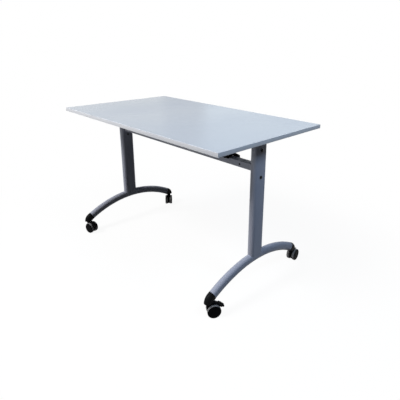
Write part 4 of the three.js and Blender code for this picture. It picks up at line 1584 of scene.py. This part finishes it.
    def wheels(self) -> None:
        """Models a tyre and a wheel disc, and puts them on both sides of each caster."""
        axle = Vector((self.trail, 0, self.wheel))
        tyre = [(7.5, 24), (7.5, 27.2), (8.2, 28.8), (9.4, 29.7), (11, 30), (19.2, 30), (20, 29.7), (20.2, 29.2)]
        tyre += [(20.2, 24), (7.5, 24)]
        disc = [(18.2, 0), (18.2, 4.2), (8.2, 4.2), (8.2, 23.8), (20.4, 23.8), (20.4, 29), (21, 29.2), (21.8, 28.6)]
        disc += [(22.3, 27.2), (22.5, 25.4), (22.75, 20.6), (22.3, 20.2), (22.3, 19.4), (22.8, 19), (23, 11), (23.1, 0)]
        patterns = (("tyre", tyre, TREAD), ("wheel_disc", disc, PLASTIC))
        about_axle = Matrix.Translation(axle)
        turns = {"a": about_axle @ Matrix.Rotation(math.pi, 4, "Z") @ about_axle.inverted(), "b": Matrix.Identity(4)}
        for label, profile, finish in patterns:
            pattern = turned(label, [(y * MM, r * MM) for y, r in profile], Axis.Y, axle, 64)
            ease(pattern, 0, limit=30, flat=0)
            spots = [(wheel, corner) for wheel in turns for corner in CORNERS]
            places = {f"{label}_{wheel}_{corner}": self.place(corner) @ turns[wheel] for wheel, corner in spots}
            for (wheel, corner), piece in zip(spots, placed_copies(pattern, places).values()):
                dress(piece, finish, f"caster_wheel_{wheel}_{corner}")


@dataclass(frozen=True)
class PhotoCamera:
    """The camera that took the photograph, worked out from the table's silhouette."""

    place: tuple[float, float, float] = (1.485722, -1.226453, 1.125461)
    azimuth: float = 43.765
    elevation: float = 17.503
    roll: float = -0.877
    focal_pixels: float = 377.648
    centre_pixel: tuple[float, float] = (225.682, 157.322)
    picture: float = 400.0
    sensor: float = 36.0

    def build(self) -> None:
        """Adds the camera and makes it the scene's."""
        azimuth, elevation, roll = (math.radians(a) for a in (self.azimuth, self.elevation, self.roll))
        back = Vector(
            (
                math.sin(azimuth) * math.cos(elevation),
                -math.cos(azimuth) * math.cos(elevation),
                math.sin(elevation),
            )
        )
        right = Vector((0, 0, 1)).cross(back).normalized()
        up = back.cross(right)
        turned_right = right * math.cos(roll) - up * math.sin(roll)
        turned_up = right * math.sin(roll) + up * math.cos(roll)
        data = bpy.data.cameras.new("photo_camera")
        data.sensor_width = self.sensor
        data.lens = self.sensor * self.focal_pixels / self.picture
        data.shift_x = (self.picture / 2 - self.centre_pixel[0]) / self.picture
        data.shift_y = (self.centre_pixel[1] - self.picture / 2) / self.picture
        camera = bpy.data.objects.new("photo_camera", data)
        bpy.context.collection.objects.link(camera)
        turn = Matrix((turned_right, turned_up, back)).transposed().to_4x4()
        camera.matrix_world = Matrix.Translation(self.place) @ turn
        bpy.context.scene.camera = camera


@dataclass(frozen=True)
class Lamp:
    """A soft box: where it stands, what it points at, its width, power and tint, and whether gloss shows it."""

    name: str
    place: tuple[float, float, float]
    target: tuple[float, float, float]
    width: float
    power: float
    tint: tuple[float, float, float]
    mirrored: bool = True

    def build(self) -> None:
        """Adds the lamp."""
        data = bpy.data.lights.new(self.name, "AREA")
        data.size = self.width
        data.energy = self.power
        data.color = self.tint
        lamp = bpy.data.objects.new(self.name, data)
        bpy.context.collection.objects.link(lamp)
        lamp.visible_glossy = self.mirrored
        lamp.location = self.place
        aim = Vector(self.target) - Vector(self.place)
        lamp.rotation_euler = aim.to_track_quat("-Z", "Y").to_euler()


@dataclass(frozen=True)
class Studio:
    """The pale floor, the soft light and the white background."""

    floor_width: float = 24.0
    floor_tone: float = 0.09
    floor_seen: float = 0.95
    floor_white: float = 0.94
    floor_fade: tuple[float, float] = (0.6, 1.6)
    ambient: Colour = (0.012, 0.012, 0.012, 1)
    lamps: tuple[Lamp, ...] = (
        Lamp("key_box", (-1.95, -4.41, 5.54), (0.1, 0, 0.5), 2.2, 502.0, (1.0, 0.985, 0.98)),
        Lamp("fill_box", (-0.8, -3.9, 1.1), (0, 0, 0.6), 1.5, 40.0, (1.0, 0.98, 0.92), mirrored=False),
        Lamp("right_box", (2.51, 0.0, 3.45), (0.45, 0, 0.62), 1.0, 70.0, (0.62, 0.79, 1.0), mirrored=False),
        Lamp("left_panel", (-2.84, 1.27, 1.12), (0, 0, 0.745), 1.2, 1.15, (1.0, 0.97, 0.80)),
        Lamp("rear_panel", (-0.98, 1.99, 1.42), (0, 0, 0.745), 1.5, 3.4, (0.70, 0.88, 1.0)),
    )

    def build(self) -> None:
        """Sets the stage."""
        bpy.context.scene.view_settings.view_transform = "Standard"
        self.world()
        self.floor()
        for lamp in self.lamps:
            lamp.build()

    @staticmethod
    def seen(wiring: Wiring) -> bpy.types.NodeSocket:
        """Whether a ray shows the background: seen straight, in a reflection or through glass."""
        path = wiring.add("LightPath").outputs
        mirrored = wiring.maths("MAXIMUM", path["Is Camera Ray"], path["Is Glossy Ray"])
        return wiring.maths("MAXIMUM", mirrored, path["Is Transmission Ray"])

    def world(self) -> None:
        """A weak ambient light, and white where the background shows."""
        world = bpy.data.worlds.new("studio")
        bpy.context.scene.world = world
        world.use_nodes = True
        wiring = Wiring(world.node_tree)
        colour = wiring.mixed(self.seen(wiring), self.ambient, (1, 1, 1, 1))
        light = wiring.add("Background", {"Color": colour})
        wiring.add("OutputWorld", {"Surface": light.outputs[0]})

    def floor(self) -> None:
        """A pale floor that keeps the table's shadow."""
        bpy.ops.object.select_all(action="DESELECT")
        bpy.ops.mesh.primitive_plane_add(size=self.floor_width)
        floor = named("studio_floor")
        material = bpy.data.materials.new("studio_floor")
        material.use_nodes = True
        wiring = Wiring(material.node_tree)
        plain = wiring.add("BsdfDiffuse", {"Color": (self.floor_tone,) * 3 + (1,)}).outputs[0]
        pale = wiring.add("BsdfDiffuse", {"Color": (self.floor_seen,) * 3 + (1,)}).outputs[0]
        white = wiring.add("Emission", {"Color": (1, 1, 1, 1)}).outputs[0]
        spot = wiring.add("TexCoord").outputs["Object"]
        away = wiring.add("VectorMath", {0: spot}, operation="LENGTH").outputs["Value"]
        near, far = self.floor_fade
        fade = {"Value": away, "From Min": near, "From Max": far, "To Min": self.floor_white, "To Max": 1}
        share = wiring.add("MapRange", fade, interpolation_type="SMOOTHSTEP").outputs[0]
        shown = wiring.add("MixShader", {0: share, 1: pale, 2: white}).outputs[0]
        both = wiring.add("MixShader", {0: self.seen(wiring), 1: plain, 2: shown}).outputs[0]
        wiring.add("OutputMaterial", {"Surface": both})
        floor.data.materials.append(material)


def main() -> None:
    """Builds the table's sub-assemblies in order, then the studio."""
    logging.basicConfig(level=logging.INFO, format="%(message)s")
    PhotoCamera().build()
    for assembly in (TableTop(), Legs(), Hinges(), Beam(), ReleaseBar(), Casters()):
        assembly.build()
    Studio().build()


if __name__ == "__main__":
    main()
